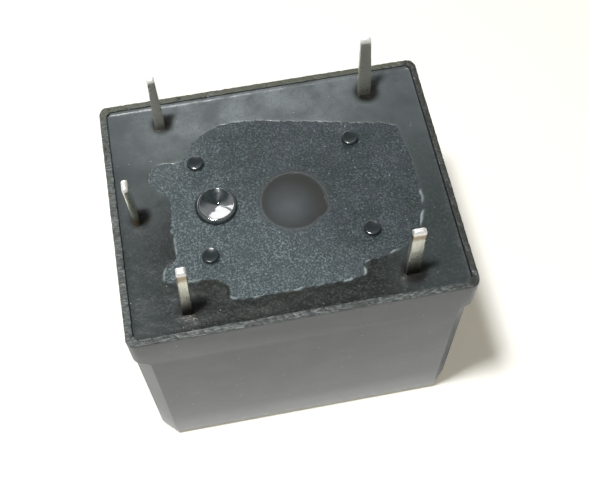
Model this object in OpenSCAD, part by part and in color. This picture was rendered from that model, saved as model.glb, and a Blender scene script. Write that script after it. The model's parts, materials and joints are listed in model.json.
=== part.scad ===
// Sealed circuit-board relay for vehicles, one changeover contact, five pins.
// It lies on the closed end of its case with the pins up: z = 0 is the closed
// end, x runs along the case from the coil side (-) to the contact side (+).

/* [Case] */
// Distance from the outer pins' centre lines to the end walls' outer faces
pin_to_end = 3.4; // [3.3:0.05:4]
// Distance from the pins' centre lines to the side walls' outer faces
pin_to_side = 1.65; // [1.6:0.05:2.2]
// Height of the case, from the closed end to the rim
case_h = 15.8; // [15.2:0.1:18]
// Wall thickness beside the mechanism
wall = 0.6; // [0.5:0.05:0.65]
// Wall thickness of the skirt round the base
skirt_wall = 0.45; // [0.3:0.05:0.48]
// Thickness of the closed end
end_wall = 0.8; // [0.6:0.1:1]
// Width taken off each upright corner, measured along a side
corner_chamfer = 0.9; // [0.6:0.1:1.2]
// Distance from the rim at which the corner chamfers start to run out
chamfer_stop = 3.1; // [2.6:0.1:4]
// Radius of the run-out at the end of a corner chamfer
runout_r = 0.8; // [0.7:0.05:1.2]
// Radius of the upright corners at the rim
rim_corner_r = 0.5; // [0.4:0.05:0.7]
// Radius round the closed end
end_r = 0.55; // [0.3:0.05:0.7]

/* [Base] */
// Thickness of the base moulding
base_t = 1.8; // [1.5:0.1:2.2]
// Depth of the base face below the rim
rim_drop = 0.3; // [0.2:0.05:0.5]
// Depth of the resin ledge below the base face
ledge_depth = 0.9; // [0.6:0.1:1.1]
// Depth of resin that creeps over the base face
resin_film = 0.06; // [0.03:0.01:0.12]
// Gap from a pin's centre line to the raised face of the base
well_gap = 1.1; // [0.9:0.1:1.4]
// Length of the middle part of the raised face that reaches between the wells
face_mid_l = 7.8; // [6:0.1:8.5]
// Gap from the end and side walls to the raised face
face_margin = 1.5; // [1.3:0.1:1.6]
// Distance between the feet along x
foot_pitch_x = 9; // [8:0.1:10]
// Distance between the feet along y
foot_pitch_y = 6; // [5:0.1:7]
// Diameter of a foot at its root
foot_d = 1; // [0.8:0.05:1.3]
// Height of a foot
foot_h = 0.28; // [0.1:0.02:0.4]
// Diameter of the shallow round recess near the middle
recess_d = 4; // [3:0.1:4.5]
// Depth of the round recess
recess_depth = 0.14; // [0.08:0.01:0.3]
// Diameter of the ejector mark at the recess's edge
ejector_d = 1.8; // [1:0.1:2]
// Mouth diameter of the conical vent
vent_d = 2.3; // [1.8:0.1:2.6]
// Depth of the vent's cone
vent_depth = 0.95; // [0.7:0.05:1.1]
// Diameter of the vent hole under the cone
vent_hole_d = 0.6; // [0.4:0.1:0.9]
// Height of the vent's sealed rim over the base face
vent_rim_h = 0.25; // [0.1:0.05:0.3]
// Depth of the dimple inside that rim
dimple_depth = 0.35; // [0.2:0.05:0.5]
// Height of the ribs between the base and the yoke
rib_h = 0.6; // [0.5:0.1:1]
// Thickness of the base's ribs, posts and barrier
rib_t = 0.6; // [0.4:0.1:0.8]

/* [Pins] */
// Distance between the coil pins and the contact pins along x
pin_pitch_x = 12.2; // [11.4:0.1:13.6]
// Distance between the two rows of pins along y
pin_pitch_y = 12; // [11.4:0.1:13.4]
// Distance of the common pin outside the coil pins
common_offset = 2; // [1.9:0.05:2.1]
// Length of the coil pins above the rim
coil_pin_reach = 4.3; // [3:0.1:5]
// Length of the contact pins above the rim
contact_pin_reach = 4.4; // [3:0.1:5]
// Length of the common pin above the rim
common_pin_reach = 3.8; // [3:0.1:5]
// Side of the square coil pins
coil_pin_t = 0.6; // [0.45:0.05:0.7]
// Width of the contact pins
contact_pin_w = 0.8; // [0.6:0.05:1]
// Thickness of the contact terminals
terminal_t = 0.4; // [0.3:0.05:0.5]
// Width of the common pin
common_pin_w = 0.9; // [0.7:0.05:1.2]
// Height of the bevel at a pin's tip
tip_bevel = 0.25; // [0.1:0.05:0.4]

/* [Magnet] */
// Thickness of the yoke
yoke_t = 1.2; // [1:0.1:1.4]
// Width of the yoke
yoke_w = 9; // [8:0.1:9.2]
// Length of the yoke past the core's tail
yoke_lip = 2.9; // [2:0.1:3.2]
// Radius inside the yoke's bend
yoke_bend_r = 0.3; // [0.2:0.1:0.6]
// Gap between the yoke and the bobbin's flanges
yoke_gap = 0.8; // [0.6:0.1:1]
// Gap between the bobbin's flanges and the barrier
barrier_gap = 0.15; // [0.1:0.05:0.4]
// Diameter of the core inside the coil
core_d = 4.6; // [3.8:0.1:5]
// Diameter of the core's pole face
pole_d = 6.6; // [6:0.1:7]
// Thickness of the pole shoe
pole_t = 0.8; // [0.6:0.1:1]
// Diameter of the core's tail in the yoke
tail_d = 3.4; // [3:0.1:3.6]
// Height of the riveted head behind the yoke
tail_head_h = 0.4; // [0.3:0.05:0.45]
// Wall thickness of the bobbin's tube
tube_wall = 0.55; // [0.4:0.05:0.7]
// Thickness of the bobbin's flanges
flange_t = 0.7; // [0.5:0.1:0.9]
// Distance from the coil pins' centre lines to the flanges' sides
flange_inset = 0.3; // [0.2:0.05:0.8]
// Height of the flanges' rims above the winding
flange_rim = 0.3; // [0.2:0.05:0.9]
// Wall thickness of the lugs outside the coil terminals
lug_wall = 0.4; // [0.3:0.05:0.45]
// Gap between the yoke and the lugs
lug_gap = 0.25; // [0.15:0.05:0.4]
// Diameter of the winding's lead wires
lead_d = 0.16; // [0.12:0.02:0.2]
// Length of the posts that the lead wires are wrapped on
post_l = 1.7; // [1.6:0.1:2]
// Distance of the posts below the bobbin's upper flange
post_gap = 0.35; // [0.3:0.05:0.6]
// Length of the wrapped wire on a post
wrap_l = 0.5; // [0.4:0.05:0.6]

/* [Armature] */
// Thickness of the armature
armature_t = 1.1; // [0.9:0.05:1.3]
// Width of the armature
armature_w = 8.4; // [7.6:0.1:9]
// Overhang of the armature past the pole face
armature_overhang = 0.7; // [0.4:0.1:1]
// Residual gap between the pulled-in armature and the pole face
residual_gap = 0.04; // [0.03:0.01:0.06]
// Thickness of the contact spring
spring_t = 0.2; // [0.15:0.01:0.25]
// Width of the contact spring on the yoke and armature
spring_w = 6.6; // [6:0.1:7.4]
// Width of the contact spring at the moving contact
spring_tip_w = 2.8; // [2.6:0.1:3.4]
// Radius inside the contact spring's bend
spring_bend_r = 1; // [0.95:0.05:1.2]
// Length of the contact spring's leg along the yoke, from the pole face's height
spring_leg = 4.2; // [3.8:0.1:4.4]
// Distance between the two rivets of a pair
rivet_pitch = 4.4; // [4:0.1:4.8]
// Diameter of the rivets' shanks
rivet_d = 1.1; // [0.9:0.05:1.2]
// Diameter of the rivets' heads
rivet_head_d = 1.8; // [1.6:0.1:2]
// Height of the rivets' heads
rivet_head_h = 0.28; // [0.2:0.02:0.32]

/* [Contacts] */
// Distance of the contacts outside the contact pins' centre lines
contact_offset = 1.1; // [0.9:0.05:1.2]
// Travel of the moving contact between the two fixed contacts
contact_gap = 0.6; // [0.4:0.05:0.7]
// Diameter of the contacts
contact_d = 2.1; // [1.8:0.1:2.4]
// Height of the fixed contacts
fixed_h = 0.4; // [0.3:0.05:0.5]
// Height of each head of the moving contact
moving_h = 0.36; // [0.3:0.02:0.42]
// Radius of the moving contact's crowned heads
crown_r = 3; // [2.5:0.1:4]
// Diameter of the contacts' shanks
shank_d = 1; // [0.8:0.05:1.1]
// Diameter of the fixed contacts' riveted backs
back_d = 1.5; // [1.3:0.1:1.7]
// Height of the fixed contacts' riveted backs
back_h = 0.15; // [0.1:0.05:0.25]
// Bevel round the fixed contacts' faces
contact_bevel = 0.08; // [0.04:0.02:0.12]
// Space between the closed end and the arm below the contacts
arm_space = 0.45; // [0.35:0.05:0.6]

/* [Fits] */
// Gap left between contacts that meet
touch_gap = 0.02; // [0.01:0.01:0.03]
// Clearance of a shank in its hole
hole_clear = 0.03; // [0.02:0.01:0.05]
// Clearance of a pin in its slot
slot_clear = 0.04; // [0.02:0.01:0.06]
// Clearance of the base in the skirt
base_clear = 0.05; // [0.03:0.01:0.08]
// Clearance of the core in the bobbin
core_clear = 0.05; // [0.03:0.01:0.08]

/* [Hidden] */
$fn = 48;
eps = 0.01;

// pins
pin_x = pin_pitch_x / 2;
pin_y = pin_pitch_y / 2;
case_l = pin_pitch_x + 2 * pin_to_end;
case_w = pin_pitch_y + 2 * pin_to_side;
contact_x = pin_x + contact_offset;
common_x = -pin_x - common_offset;

// base, from the rim down
base_top = case_h - rim_drop;
base_bottom = base_top - base_t;
ledge_z = base_top - ledge_depth;
face_l = case_l - 2 * face_margin;
cavity_l = case_l - 2 * wall;
cavity_w = case_w - 2 * wall;
skirt_l = case_l - 2 * skirt_wall;
skirt_w = case_w - 2 * skirt_wall;
// the upright corners of the inner cavity keep the wall's thickness
cavity_chamfer = corner_chamfer - wall * (2 - sqrt(2));
skirt_corner_r = rim_corner_r / 2;
vent_x = -3.65;
recess_at = [0.65, -0.45];
ejector_at = recess_at + [1.1, -0.6];
foot_top = 0.9; // share of a foot's diameter that its top keeps
feet_shift = [0.08, -0.08]; // from the middle of the case to that of the feet
dimple_lip = 0.15; // from the rim's root to the dimple
dimple_floor_r = 0.12;
rim_lean = 0.07; // from the rim's root in to its top
plug_gap = 0.2; // from the base's back to the seal in the vent hole

// ribs, barrier and posts on the base's back
rib_inset = 1.2; // from the yoke's sides
rib_run_in = 1; // from the yoke's end
barrier_w = 1.2 * yoke_w;
post_run = 0.4; // from the contacts' centre line towards the coil
post_d = 1.5 * rib_t;
post_stop = 2; // from the upper arm to the posts' ends
outer_rib_l = 2;
outer_rib_gap = 0.15; // from the ribs to the case's side walls

// magnet system, from the base down
yoke_top = base_bottom - rib_h;
yoke_bottom = yoke_top - yoke_t;
yoke_out = common_x + terminal_t / 2;
yoke_in = yoke_out + yoke_t;
plate_in = pin_x - contact_pin_w / 2;
barrier_x = plate_in - barrier_gap - rib_t;
flange_l = barrier_x - barrier_gap - yoke_in - yoke_gap;
flange_w = pin_pitch_y - 2 * flange_inset;
winding_d = min(flange_l, flange_w) - 2 * flange_rim;
coil_x = yoke_in + yoke_gap + flange_l / 2;
yoke_end = coil_x + tail_d / 2 + yoke_lip;
flange_top = yoke_bottom;
wind_top = flange_top - flange_t;

// contacts, from the closed end up
arm_z = end_wall + arm_space;
closed_face = arm_z + terminal_t + fixed_h;
heel_inset = 0.15; // from the yoke's outer face to the armature's heel
pivot_x = yoke_out + heel_inset;
reach = contact_x - pivot_x;
open_angle = asin(contact_gap / reach);
// height of the armature's lower face when it is pulled in: the lower crown of
// the released moving contact then lies touch_gap above the lower fixed contact
crown_c = crown_r - moving_h - spring_t;
armature_z = (closed_face + touch_gap + crown_r + contact_gap
  + armature_t * (cos(open_angle) - 1) - crown_c * cos(open_angle));
pivot_z = armature_z + armature_t;
pole_z = pivot_z + residual_gap;
open_face = armature_z + moving_h + touch_gap;
open_arm_z = open_face + fixed_h;
shoe_top = pole_z + pole_t;
wind_bottom = shoe_top + flange_t;
armature_end = coil_x + pole_d / 2 + armature_overhang;
armature_rivet_x = coil_x - pole_d / 2 - rivet_d;
tip_inset = 0.3; // from the contact's centre line to the centre of the spring's round tip
spring_end = contact_x - tip_inset + spring_tip_w / 2;
spring_rivet_z = pole_z + spring_leg * 0.62;
plate_gap = 0.3; // from the spring's leg to the common terminal's plate
plate_foot = pole_z + spring_leg + plate_gap;
plate_chamfer = 0.6;
common_rivet_z = (plate_foot + yoke_bottom) / 2;
yoke_corner = 1.4; // chamfer of the yoke's free end
pole_bevel = 0.15;
head_rim = 0.5; // from the core's tail to its riveted head's edge

// Centre of the spring's bend: it touches the yoke's back and the armature's
// lower face, both at the bend's inner radius
normal = [sin(open_angle), cos(open_angle)];
armature_corner = [pivot_x, pivot_z] - armature_t * normal;
bend_x = yoke_out + spring_bend_r;
bend_z = armature_corner.y
  + (spring_bend_r - normal.x * (bend_x - armature_corner.x)) / normal.y;
heel_clear = 0.05; // from the end of the bend to the armature's flat underside
heel_h = armature_t / 4; // upright part of the armature's heel
taper_start = 2; // from where the spring starts to narrow to the armature's end
taper_stop = 1.4; // and on to where it is as narrow as its tip
taper_x = [armature_end - taper_start, armature_end + taper_stop];
strap_w = (spring_w - rivet_pitch) / 2 + rivet_d; // each side of the spring's window
window_run = 0.4; // from the bend's centre to the window's end

// coil terminals
post_z = wind_top - coil_pin_t / 2 - post_gap;
post_bend_r = 0.45;
post_end = post_l - pin_x;
solder_r = coil_pin_t * 0.85;
solder_x = post_end - solder_r * 0.8;
solder_root = 0.25; // from a drop's flat back to its centre, in radii
wrap_x = solder_x - wrap_l;
lead_angle = 130; // where the leads leave the winding
lug_out_l = 0.9; // from a pin's centre to the lug's outer end
lug_in_l = 1.1; // and to its inner end
lug_x = [-pin_x - lug_out_l, -pin_x + lug_in_l];
lug_in = yoke_w / 2 + lug_gap;
lug_out = pin_y + coil_pin_t / 2 + lug_wall;

// contact terminals
arm_margin = 0.2;
plate_out = contact_x + contact_d / 2 + arm_margin;
arm_reach = contact_d / 2 + arm_margin;
arm_bend_r = 0.5;

// Inner edge of the resin that has crept over the base face, anticlockwise
resin_edge = [
  [-7, -4.1], [-5.7, -4.3], [-4.3, -4.5], [-3.7, -5], [-3.4, -5.8],
  [-0.2, -5.85], [3.4, -5.75], [3.6, -5], [4.9, -4.75], [6.6, -4.1],
  [7.6, -2.4], [7.8, 0.1], [7.6, 2.3], [7.3, 3.4], [5.1, 4], [1.6, 4.8],
  [-2, 5.4], [-4, 4.7], [-5.2, 3.3], [-6.6, 3.3], [-7.2, 2.4], [-6.9, 1.7],
  [-6.2, 0.9], [-6.3, -1], [-6.2, -2.6], [-6.9, -3.4]
];

// ---- outlines -------------------------------------------------------------

// Points on an arc round c, from angle a to angle b
function arc(c, r, a, b, steps = 6) =
  [for (i = [0:steps]) c + r * [cos(a + (b - a) * i / steps), sin(a + (b - a) * i / steps)]];

// Rectangle with rounded corners
function rounded(l, w, r) = [
  for (k = [0:3])
    let (sx = (k == 0 || k == 3) ? 1 : -1, sy = k < 2 ? 1 : -1)
      each arc([sx * (l / 2 - r), sy * (w / 2 - r)], r, 90 * k, 90 * k + 90)
];

// Rectangle with its corners cut at 45 degrees
function chamfered(l, w, c) = [
  [l / 2, w / 2 - c], [l / 2 - c, w / 2], [c - l / 2, w / 2], [-l / 2, w / 2 - c],
  [-l / 2, c - w / 2], [c - l / 2, -w / 2], [l / 2 - c, -w / 2], [l / 2, c - w / 2]
];

// Upright outline of the case, with the closed end rounded
function end_rounded(w) = concat(
  [[w / 2, case_h], [-w / 2, case_h]],
  arc([end_r - w / 2, end_r], end_r, 180, 270),
  arc([w / 2 - end_r, end_r], end_r, 270, 360)
);

// Unit vector to the left of the way from a to b
function left_of(a, b) = let (d = (b - a) / norm(b - a)) [-d.y, d.x];

// Sheet of thickness t along a path, mitred at each point
function sheet(path, t) =
  let (
    last = len(path) - 1,
    mitre = [
      for (i = [0:last])
        let (
          a = left_of(path[max(i - 1, 0)], path[max(i, 1)]),
          b = left_of(path[min(i, last - 1)], path[min(i + 1, last)])
        )
          (a + b) / (1 + a * b)
    ]
  )
    concat(
      [for (i = [0:last]) path[i] + mitre[i] * t / 2],
      [for (i = [last:-1:0]) path[i] - mitre[i] * t / 2]
    );

// Closed smooth curve through the points p
function smooth(p, steps = 3) =
  let (n = len(p))
    [
      for (i = [0:n - 1], s = [0:steps - 1])
        let (
          t = s / steps,
          a = p[(i + n - 1) % n], b = p[i], c = p[(i + 1) % n], d = p[(i + 2) % n]
        )
          (2 * b + (c - a) * t + (2 * a - 5 * b + 4 * c - d) * t * t
            + (3 * b - a - 3 * c + d) * t * t * t) / 2
    ];

// Outline of a pin of width w round c, from the base's back up to its bevelled tip
function pin_outline(c, w, tip) =
  let (b = min(tip_bevel, w / 3), z0 = base_bottom - eps)
    [
      [c - w / 2, z0], [c + w / 2, z0], [c + w / 2, tip - tip_bevel],
      [c + w / 2 - b, tip], [c - w / 2 + b, tip], [c - w / 2, tip - tip_bevel]
    ];

// ---- placing --------------------------------------------------------------

module along_x(x0, x1) translate([x0, 0, 0]) rotate([90, 0, 90]) linear_extrude(x1 - x0) children();

module along_y(y0, y1) translate([0, y1, 0]) rotate([90, 0, 0]) linear_extrude(y1 - y0) children();

module along_z(z0, z1) translate([0, 0, z0]) linear_extrude(z1 - z0) children();

module block(x0, x1, y0, y1, z0, z1) translate([x0, y0, z0]) cube([x1 - x0, y1 - y0, z1 - z0]);

module both_sides(y = 1) for (side = [-y, y]) translate([0, side, 0]) children();

module mirrored_y() {
  children();
  mirror([0, 1, 0]) children();
}

// Cylinder along x, centred on the x axis
module bar_x(x0, x1, d) translate([x0, 0, 0]) rotate([0, 90, 0]) cylinder(h = x1 - x0, d = d);

module rod(from, to, d) {
  v = to - from;
  translate(from)
    rotate([0, acos(v.z / norm(v)), atan2(v.y, v.x)])
      cylinder(h = norm(v), d = d, $fn = 16);
}

// From the pulled-in place of the moving pieces to their released place
module released()
  translate([pivot_x, 0, pivot_z])
    rotate([0, open_angle, 0])
      translate([-pivot_x, 0, -pivot_z])
        children();

// Pin with a rectangular section and a bevelled tip, which stands reach above the rim
module pin(x, y, wx, wy, reach)
  intersection() {
    along_y(y - wy / 2, y + wy / 2) polygon(pin_outline(x, wx, case_h + reach));
    along_x(x - wx / 2, x + wx / 2) polygon(pin_outline(y, wy, case_h + reach));
  }

// ---- case and base --------------------------------------------------------

// What the run-out chamfer takes off the corner at the origin
module corner_cut() {
  face = -corner_chamfer / sqrt(2);
  stop_z = case_h - chamfer_stop;
  rotate([0, 0, 45])
    along_y(-2 * corner_chamfer, 2 * corner_chamfer)
      polygon(concat(
        [[face - end_r, -1]],
        arc([face - end_r, end_r], end_r, 270, 360),
        arc([face + runout_r, stop_z], runout_r, 180, 90),
        [[2 * runout_r, stop_z + runout_r], [2 * runout_r, -1]]
      ));
}

module case_body()
  difference() {
    intersection() {
      along_z(0, case_h) polygon(rounded(case_l, case_w, rim_corner_r));
      along_y(-case_w, case_w) polygon(end_rounded(case_l));
      along_x(-case_l, case_l) polygon(end_rounded(case_w));
    }
    for (mx = [0, 1], my = [0, 1])
      mirror([mx, 0, 0]) mirror([0, my, 0])
        translate([case_l / 2, case_w / 2, 0]) corner_cut();
  }

module skirt_outline() polygon(rounded(skirt_l, skirt_w, skirt_corner_r));

module case() color([0.16, 0.16, 0.17])
  difference() {
    case_body();
    along_z(end_wall, base_bottom + eps) polygon(chamfered(cavity_l, cavity_w, cavity_chamfer));
    along_z(base_bottom, case_h + 1) skirt_outline();
  }

// The five slots and wells share this: one child at each pin
module at_pins() {
  for (y = [-pin_y, pin_y]) {
    translate([-pin_x, y]) square(coil_pin_t + 2 * slot_clear, center = true);
    translate([pin_x, y])
      square([contact_pin_w, terminal_t] + 2 * slot_clear * [1, 1], center = true);
  }
  translate([common_x, 0])
    square([terminal_t, common_pin_w] + 2 * slot_clear * [1, 1], center = true);
}

// Outline of the raised face of the base, which stops short of the pins
module face_outline()
  difference() {
    union() {
      square([face_l, 2 * (pin_y - well_gap)], center = true);
      square([face_mid_l, pin_pitch_y], center = true);
    }
    translate([-case_l / 2, -well_gap])
      square([case_l / 2 + common_x + 1.4 * well_gap, 2 * well_gap]);
  }

// Space of the vent's cone, which widens on above the base face
module vent_cone() {
  widening = (vent_d - vent_hole_d) / 2 / vent_depth;
  rotate_extrude()
    polygon([
      [0, base_top + 1], [vent_d / 2 + widening, base_top + 1],
      [vent_d / 2, base_top],
      [vent_hole_d / 2, base_top - vent_depth],
      [0, base_top - vent_depth]
    ]);
}

// Space of the dimple that the resin leaves in the vent
module vent_dimple() {
  mouth_r = vent_d / 2 - dimple_lip;
  rim_top = base_top + vent_rim_h;
  rotate_extrude()
    polygon([
      [0, rim_top + 1], [mouth_r, rim_top + 1], [mouth_r, rim_top],
      [dimple_floor_r, rim_top - dimple_depth], [0, rim_top - dimple_depth]
    ]);
}

module base() color([0.2, 0.21, 0.22])
  difference() {
    union() {
      along_z(base_bottom, ledge_z)
        polygon(chamfered(skirt_l - 2 * base_clear, skirt_w - 2 * base_clear, skirt_corner_r));
      along_z(ledge_z, base_top) face_outline();
      for (x = [-1, 1] * foot_pitch_x / 2, y = [-1, 1] * foot_pitch_y / 2)
        translate([x + feet_shift.x, y + feet_shift.y, base_top])
          cylinder(h = foot_h, d1 = foot_d, d2 = foot_d * foot_top);
      // ribs that the yoke lies on
      both_sides(yoke_w / 2 - rib_inset)
        block(yoke_in, yoke_end - rib_run_in, -rib_t / 2, rib_t / 2, yoke_top, base_bottom + eps);
      // barrier between the coil and the contacts
      block(barrier_x, barrier_x + rib_t, -barrier_w / 2, barrier_w / 2,
        shoe_top, base_bottom + eps);
      // posts and ribs that hold the contact terminals on both faces
      mirrored_y() {
        block(contact_x - post_run, plate_out, pin_y - terminal_t / 2 - post_d,
          pin_y - terminal_t / 2, open_arm_z + post_stop, base_bottom + eps);
        block(pin_x, contact_x + contact_d / 2, pin_y + terminal_t / 2,
          cavity_w / 2 - outer_rib_gap, base_bottom - outer_rib_l, base_bottom + eps);
      }
    }
    along_z(base_bottom - 1, base_top + 1) at_pins();
    translate([vent_x, 0, 0]) {
      vent_cone();
      translate([0, 0, base_bottom - 1]) cylinder(h = base_t + 1, d = vent_hole_d);
    }
    translate([recess_at.x, recess_at.y, base_top - recess_depth])
      cylinder(h = 1, d = recess_d);
    translate([ejector_at.x, ejector_at.y, base_top - recess_depth])
      cylinder(h = 1, d = ejector_d);
  }

// Resin in the trough round the base, creeping over the edge of its face
module sealing_resin() color([0.24, 0.25, 0.27])
  difference() {
    along_z(ledge_z, base_top + resin_film) skirt_outline();
    along_z(ledge_z - 1, base_top) face_outline();
    along_z(ledge_z - 1, case_h) polygon(smooth(resin_edge));
    all_pins();
  }

// Resin that closes the vent, with a raised rim round the dimple where it sank
module vent_seal() color([0.06, 0.06, 0.07])
  translate([vent_x, 0, 0])
    difference() {
      union() {
        intersection() {
          vent_cone();
          translate([0, 0, base_bottom]) cylinder(h = base_t, d = 2 * vent_d);
        }
        translate([0, 0, base_bottom + plug_gap])
          cylinder(h = base_t - vent_depth - plug_gap + eps, d = vent_hole_d);
        translate([0, 0, base_top])
          cylinder(h = vent_rim_h, d1 = vent_d, d2 = vent_d - 2 * rim_lean);
      }
      vent_dimple();
    }

// ---- pins and terminals ---------------------------------------------------

module coil_pin(y) pin(-pin_x, y, coil_pin_t, coil_pin_t, coil_pin_reach);

module contact_pin(y) pin(pin_x, y, contact_pin_w, terminal_t, contact_pin_reach);

module common_pin() pin(common_x, 0, terminal_t, common_pin_w, common_pin_reach);

module all_pins() {
  both_sides(pin_y) {
    coil_pin(0);
    contact_pin(0);
  }
  common_pin();
}

// Square wire: a pin that runs down through the bobbin's lug and turns into a post
module coil_terminal(y) color([0.72, 0.7, 0.62]) {
  coil_pin(y);
  along_y(y - coil_pin_t / 2, y + coil_pin_t / 2)
    polygon(sheet(
      concat(
        [[-pin_x, base_bottom]],
        arc([post_bend_r - pin_x, post_z + post_bend_r], post_bend_r, 180, 270),
        [[post_end, post_z]]
      ),
      coil_pin_t
    ));
}

module coil_terminal_back() coil_terminal(pin_y);

module coil_terminal_front() coil_terminal(-pin_y);

module common_terminal() color([0.75, 0.72, 0.62])
  difference() {
    union() {
      common_pin();
      along_x(common_x - terminal_t / 2, common_x + terminal_t / 2)
        translate([0, (plate_foot + base_bottom) / 2])
          polygon(chamfered(yoke_w / 2, base_bottom - plate_foot, plate_chamfer));
    }
    translate([0, 0, common_rivet_z]) bar_x(common_x - 1, common_x + 1, rivet_d + 2 * hole_clear);
  }

module common_rivet() color([0.7, 0.66, 0.5])
  translate([0, 0, common_rivet_z]) {
    bar_x(common_x - terminal_t / 2, yoke_in, rivet_d);
    bar_x(common_x - terminal_t / 2 - rivet_head_h, common_x - terminal_t / 2, rivet_head_d);
  }

// Bent plate: a pin, a plate along the side wall and an arm over to the contact.
// arm is the arm's lower face
module contact_terminal(arm) color([0.78, 0.62, 0.4])
  difference() {
    union() {
      contact_pin(pin_y);
      along_x(plate_in, plate_out)
        polygon(sheet(
          concat(
            [[pin_y, base_bottom]],
            arc([pin_y - arm_bend_r, arm + terminal_t / 2 + arm_bend_r], arm_bend_r, 0, -90),
            [[-arm_reach, arm + terminal_t / 2]]
          ),
          terminal_t
        ));
    }
    translate([contact_x, 0, arm - 1]) cylinder(h = 2, d = shank_d + 2 * hole_clear);
  }

module normally_closed_terminal() contact_terminal(arm_z);

module normally_open_terminal() mirror([0, 1, 0]) contact_terminal(open_arm_z);

// Contact rivet: face at z = 0 looking up, shank through an arm of thickness t
module fixed_contact(t) color([0.86, 0.86, 0.84])
  rotate_extrude()
    polygon([
      [0, 0], [contact_d / 2 - contact_bevel, 0], [contact_d / 2, -contact_bevel],
      [contact_d / 2, -fixed_h], [shank_d / 2, -fixed_h], [shank_d / 2, -fixed_h - t],
      [back_d / 2, -fixed_h - t], [back_d / 2, -fixed_h - t - back_h],
      [0, -fixed_h - t - back_h]
    ]);

module normally_closed_contact() translate([contact_x, 0, closed_face]) fixed_contact(terminal_t);

module normally_open_contact()
  translate([contact_x, 0, open_face]) mirror([0, 0, 1]) fixed_contact(terminal_t);

// ---- magnet system --------------------------------------------------------

// Hooked profile of the yoke: up the back of the coil and over its top
module yoke() color([0.62, 0.63, 0.64])
  difference() {
    mid_r = yoke_bend_r + yoke_t / 2;
    mid_x = yoke_out + yoke_t / 2;
    mid_z = yoke_top - yoke_t / 2;
    intersection() {
      along_y(-yoke_w / 2, yoke_w / 2)
        polygon(sheet(
          concat(
            [[mid_x, pole_z]],
            arc([mid_x + mid_r, mid_z - mid_r], mid_r, 180, 90),
            [[yoke_end, mid_z]]
          ),
          yoke_t
        ));
      // starts outside the yoke, so that only the free end's corners are cut
      along_z(0, case_h)
        translate([(yoke_end + yoke_out - 2 * yoke_corner) / 2, 0])
          polygon(chamfered(yoke_end - yoke_out + 2 * yoke_corner, yoke_w, yoke_corner));
    }
    translate([coil_x, 0, yoke_bottom - 1]) cylinder(h = yoke_t + 2, d = tail_d + 2 * hole_clear);
    for (at = concat([[0, common_rivet_z]], [for (y = [-1, 1]) [y * rivet_pitch / 2, spring_rivet_z]]))
      translate([0, at[0], at[1]]) bar_x(yoke_out - 1, yoke_in + 1, rivet_d + 2 * hole_clear);
  }

module core() color([0.66, 0.67, 0.68])
  translate([coil_x, 0, 0])
    rotate_extrude()
      polygon([
        [0, pole_z], [pole_d / 2 - pole_bevel, pole_z], [pole_d / 2, pole_z + pole_bevel],
        [pole_d / 2, shoe_top], [core_d / 2, shoe_top], [core_d / 2, yoke_bottom],
        [tail_d / 2, yoke_bottom], [tail_d / 2, yoke_top],
        [tail_d / 2 + head_rim, yoke_top], [tail_d / 2 + head_rim, yoke_top + tail_head_h / 2],
        [tail_d / 2, yoke_top + tail_head_h], [0, yoke_top + tail_head_h]
      ]);

// Square flange with its corners rounded off
module flange_outline()
  intersection() {
    square([flange_l, flange_w], center = true);
    circle(d = (flange_l + flange_w) * 0.66);
  }

// Lug at the flange's edge, which holds a coil terminal beside the yoke
module lug() block(lug_x[0], lug_x[1], lug_in, lug_out, wind_top, base_bottom);

module bobbin() color([0.85, 0.82, 0.74])
  difference() {
    union() {
      translate([coil_x, 0, 0]) {
        along_z(shoe_top, wind_bottom) flange_outline();
        along_z(wind_top, flange_top) flange_outline();
        translate([0, 0, shoe_top])
          cylinder(h = flange_top - shoe_top, d = core_d + 2 * (core_clear + tube_wall));
      }
      mirrored_y() lug();
    }
    translate([coil_x, 0, 0]) cylinder(h = case_h, d = core_d + 2 * core_clear);
    along_z(wind_top - 1, case_h) at_pins();
  }

// Winding with its two leads, which run out to the posts and are wrapped round them
module coil_winding() color([0.72, 0.38, 0.2]) {
  translate([coil_x, 0, wind_bottom])
    difference() {
      cylinder(h = wind_top - wind_bottom, d = winding_d);
      translate([0, 0, -1])
        cylinder(h = wind_top, d = core_d + 2 * (core_clear + tube_wall));
    }
  mirrored_y() {
    start = winding_d / 2 - lead_d;
    difference() {
      translate([0, pin_y, post_z]) bar_x(wrap_x, solder_x, coil_pin_t + 3 * lead_d);
      coil_terminal_back();
    }
    rod(
      [coil_x + start * cos(lead_angle), start * sin(lead_angle), wind_top - lead_d],
      [(wrap_x + solder_x) / 2, pin_y - (coil_pin_t + lead_d) / 2, post_z], lead_d
    );
  }
}

// Drops of solder on the ends of the two posts
module coil_solder() color([0.8, 0.8, 0.78])
  mirrored_y()
    difference() {
      translate([solder_x, pin_y, post_z])
        rotate([0, 90, 0])
          rotate_extrude()
            polygon(concat([[0, 0]], solder_r * arc([0, solder_root], 1, -asin(solder_root), 90)));
      coil_terminal_back();
    }

// ---- armature and contact spring, drawn pulled in and then released --------

module armature_holes(d)
  for (y = [-1, 1] * rivet_pitch / 2)
    translate([armature_rivet_x, y, armature_z - 2]) cylinder(h = armature_t + 4, d = d);

module armature() color([0.6, 0.61, 0.62])
  released()
    difference() {
      // the heel's bevel clears the spring's bend
      heel_x = bend_x + heel_clear;
      intersection() {
        along_y(-armature_w / 2, armature_w / 2)
          polygon([
            [pivot_x, pivot_z], [pivot_x, pivot_z - heel_h], [heel_x, armature_z],
            [armature_end, armature_z], [armature_end, pivot_z]
          ]);
        along_z(armature_z - 1, pivot_z + 1)
          polygon([
            [pivot_x - 1, -armature_w / 2], [coil_x, -armature_w / 2],
            [armature_end, -armature_w / 3], [armature_end, armature_w / 3],
            [coil_x, armature_w / 2], [pivot_x - 1, armature_w / 2]
          ]);
      }
      armature_holes(rivet_d + 2 * hole_clear);
    }

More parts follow.
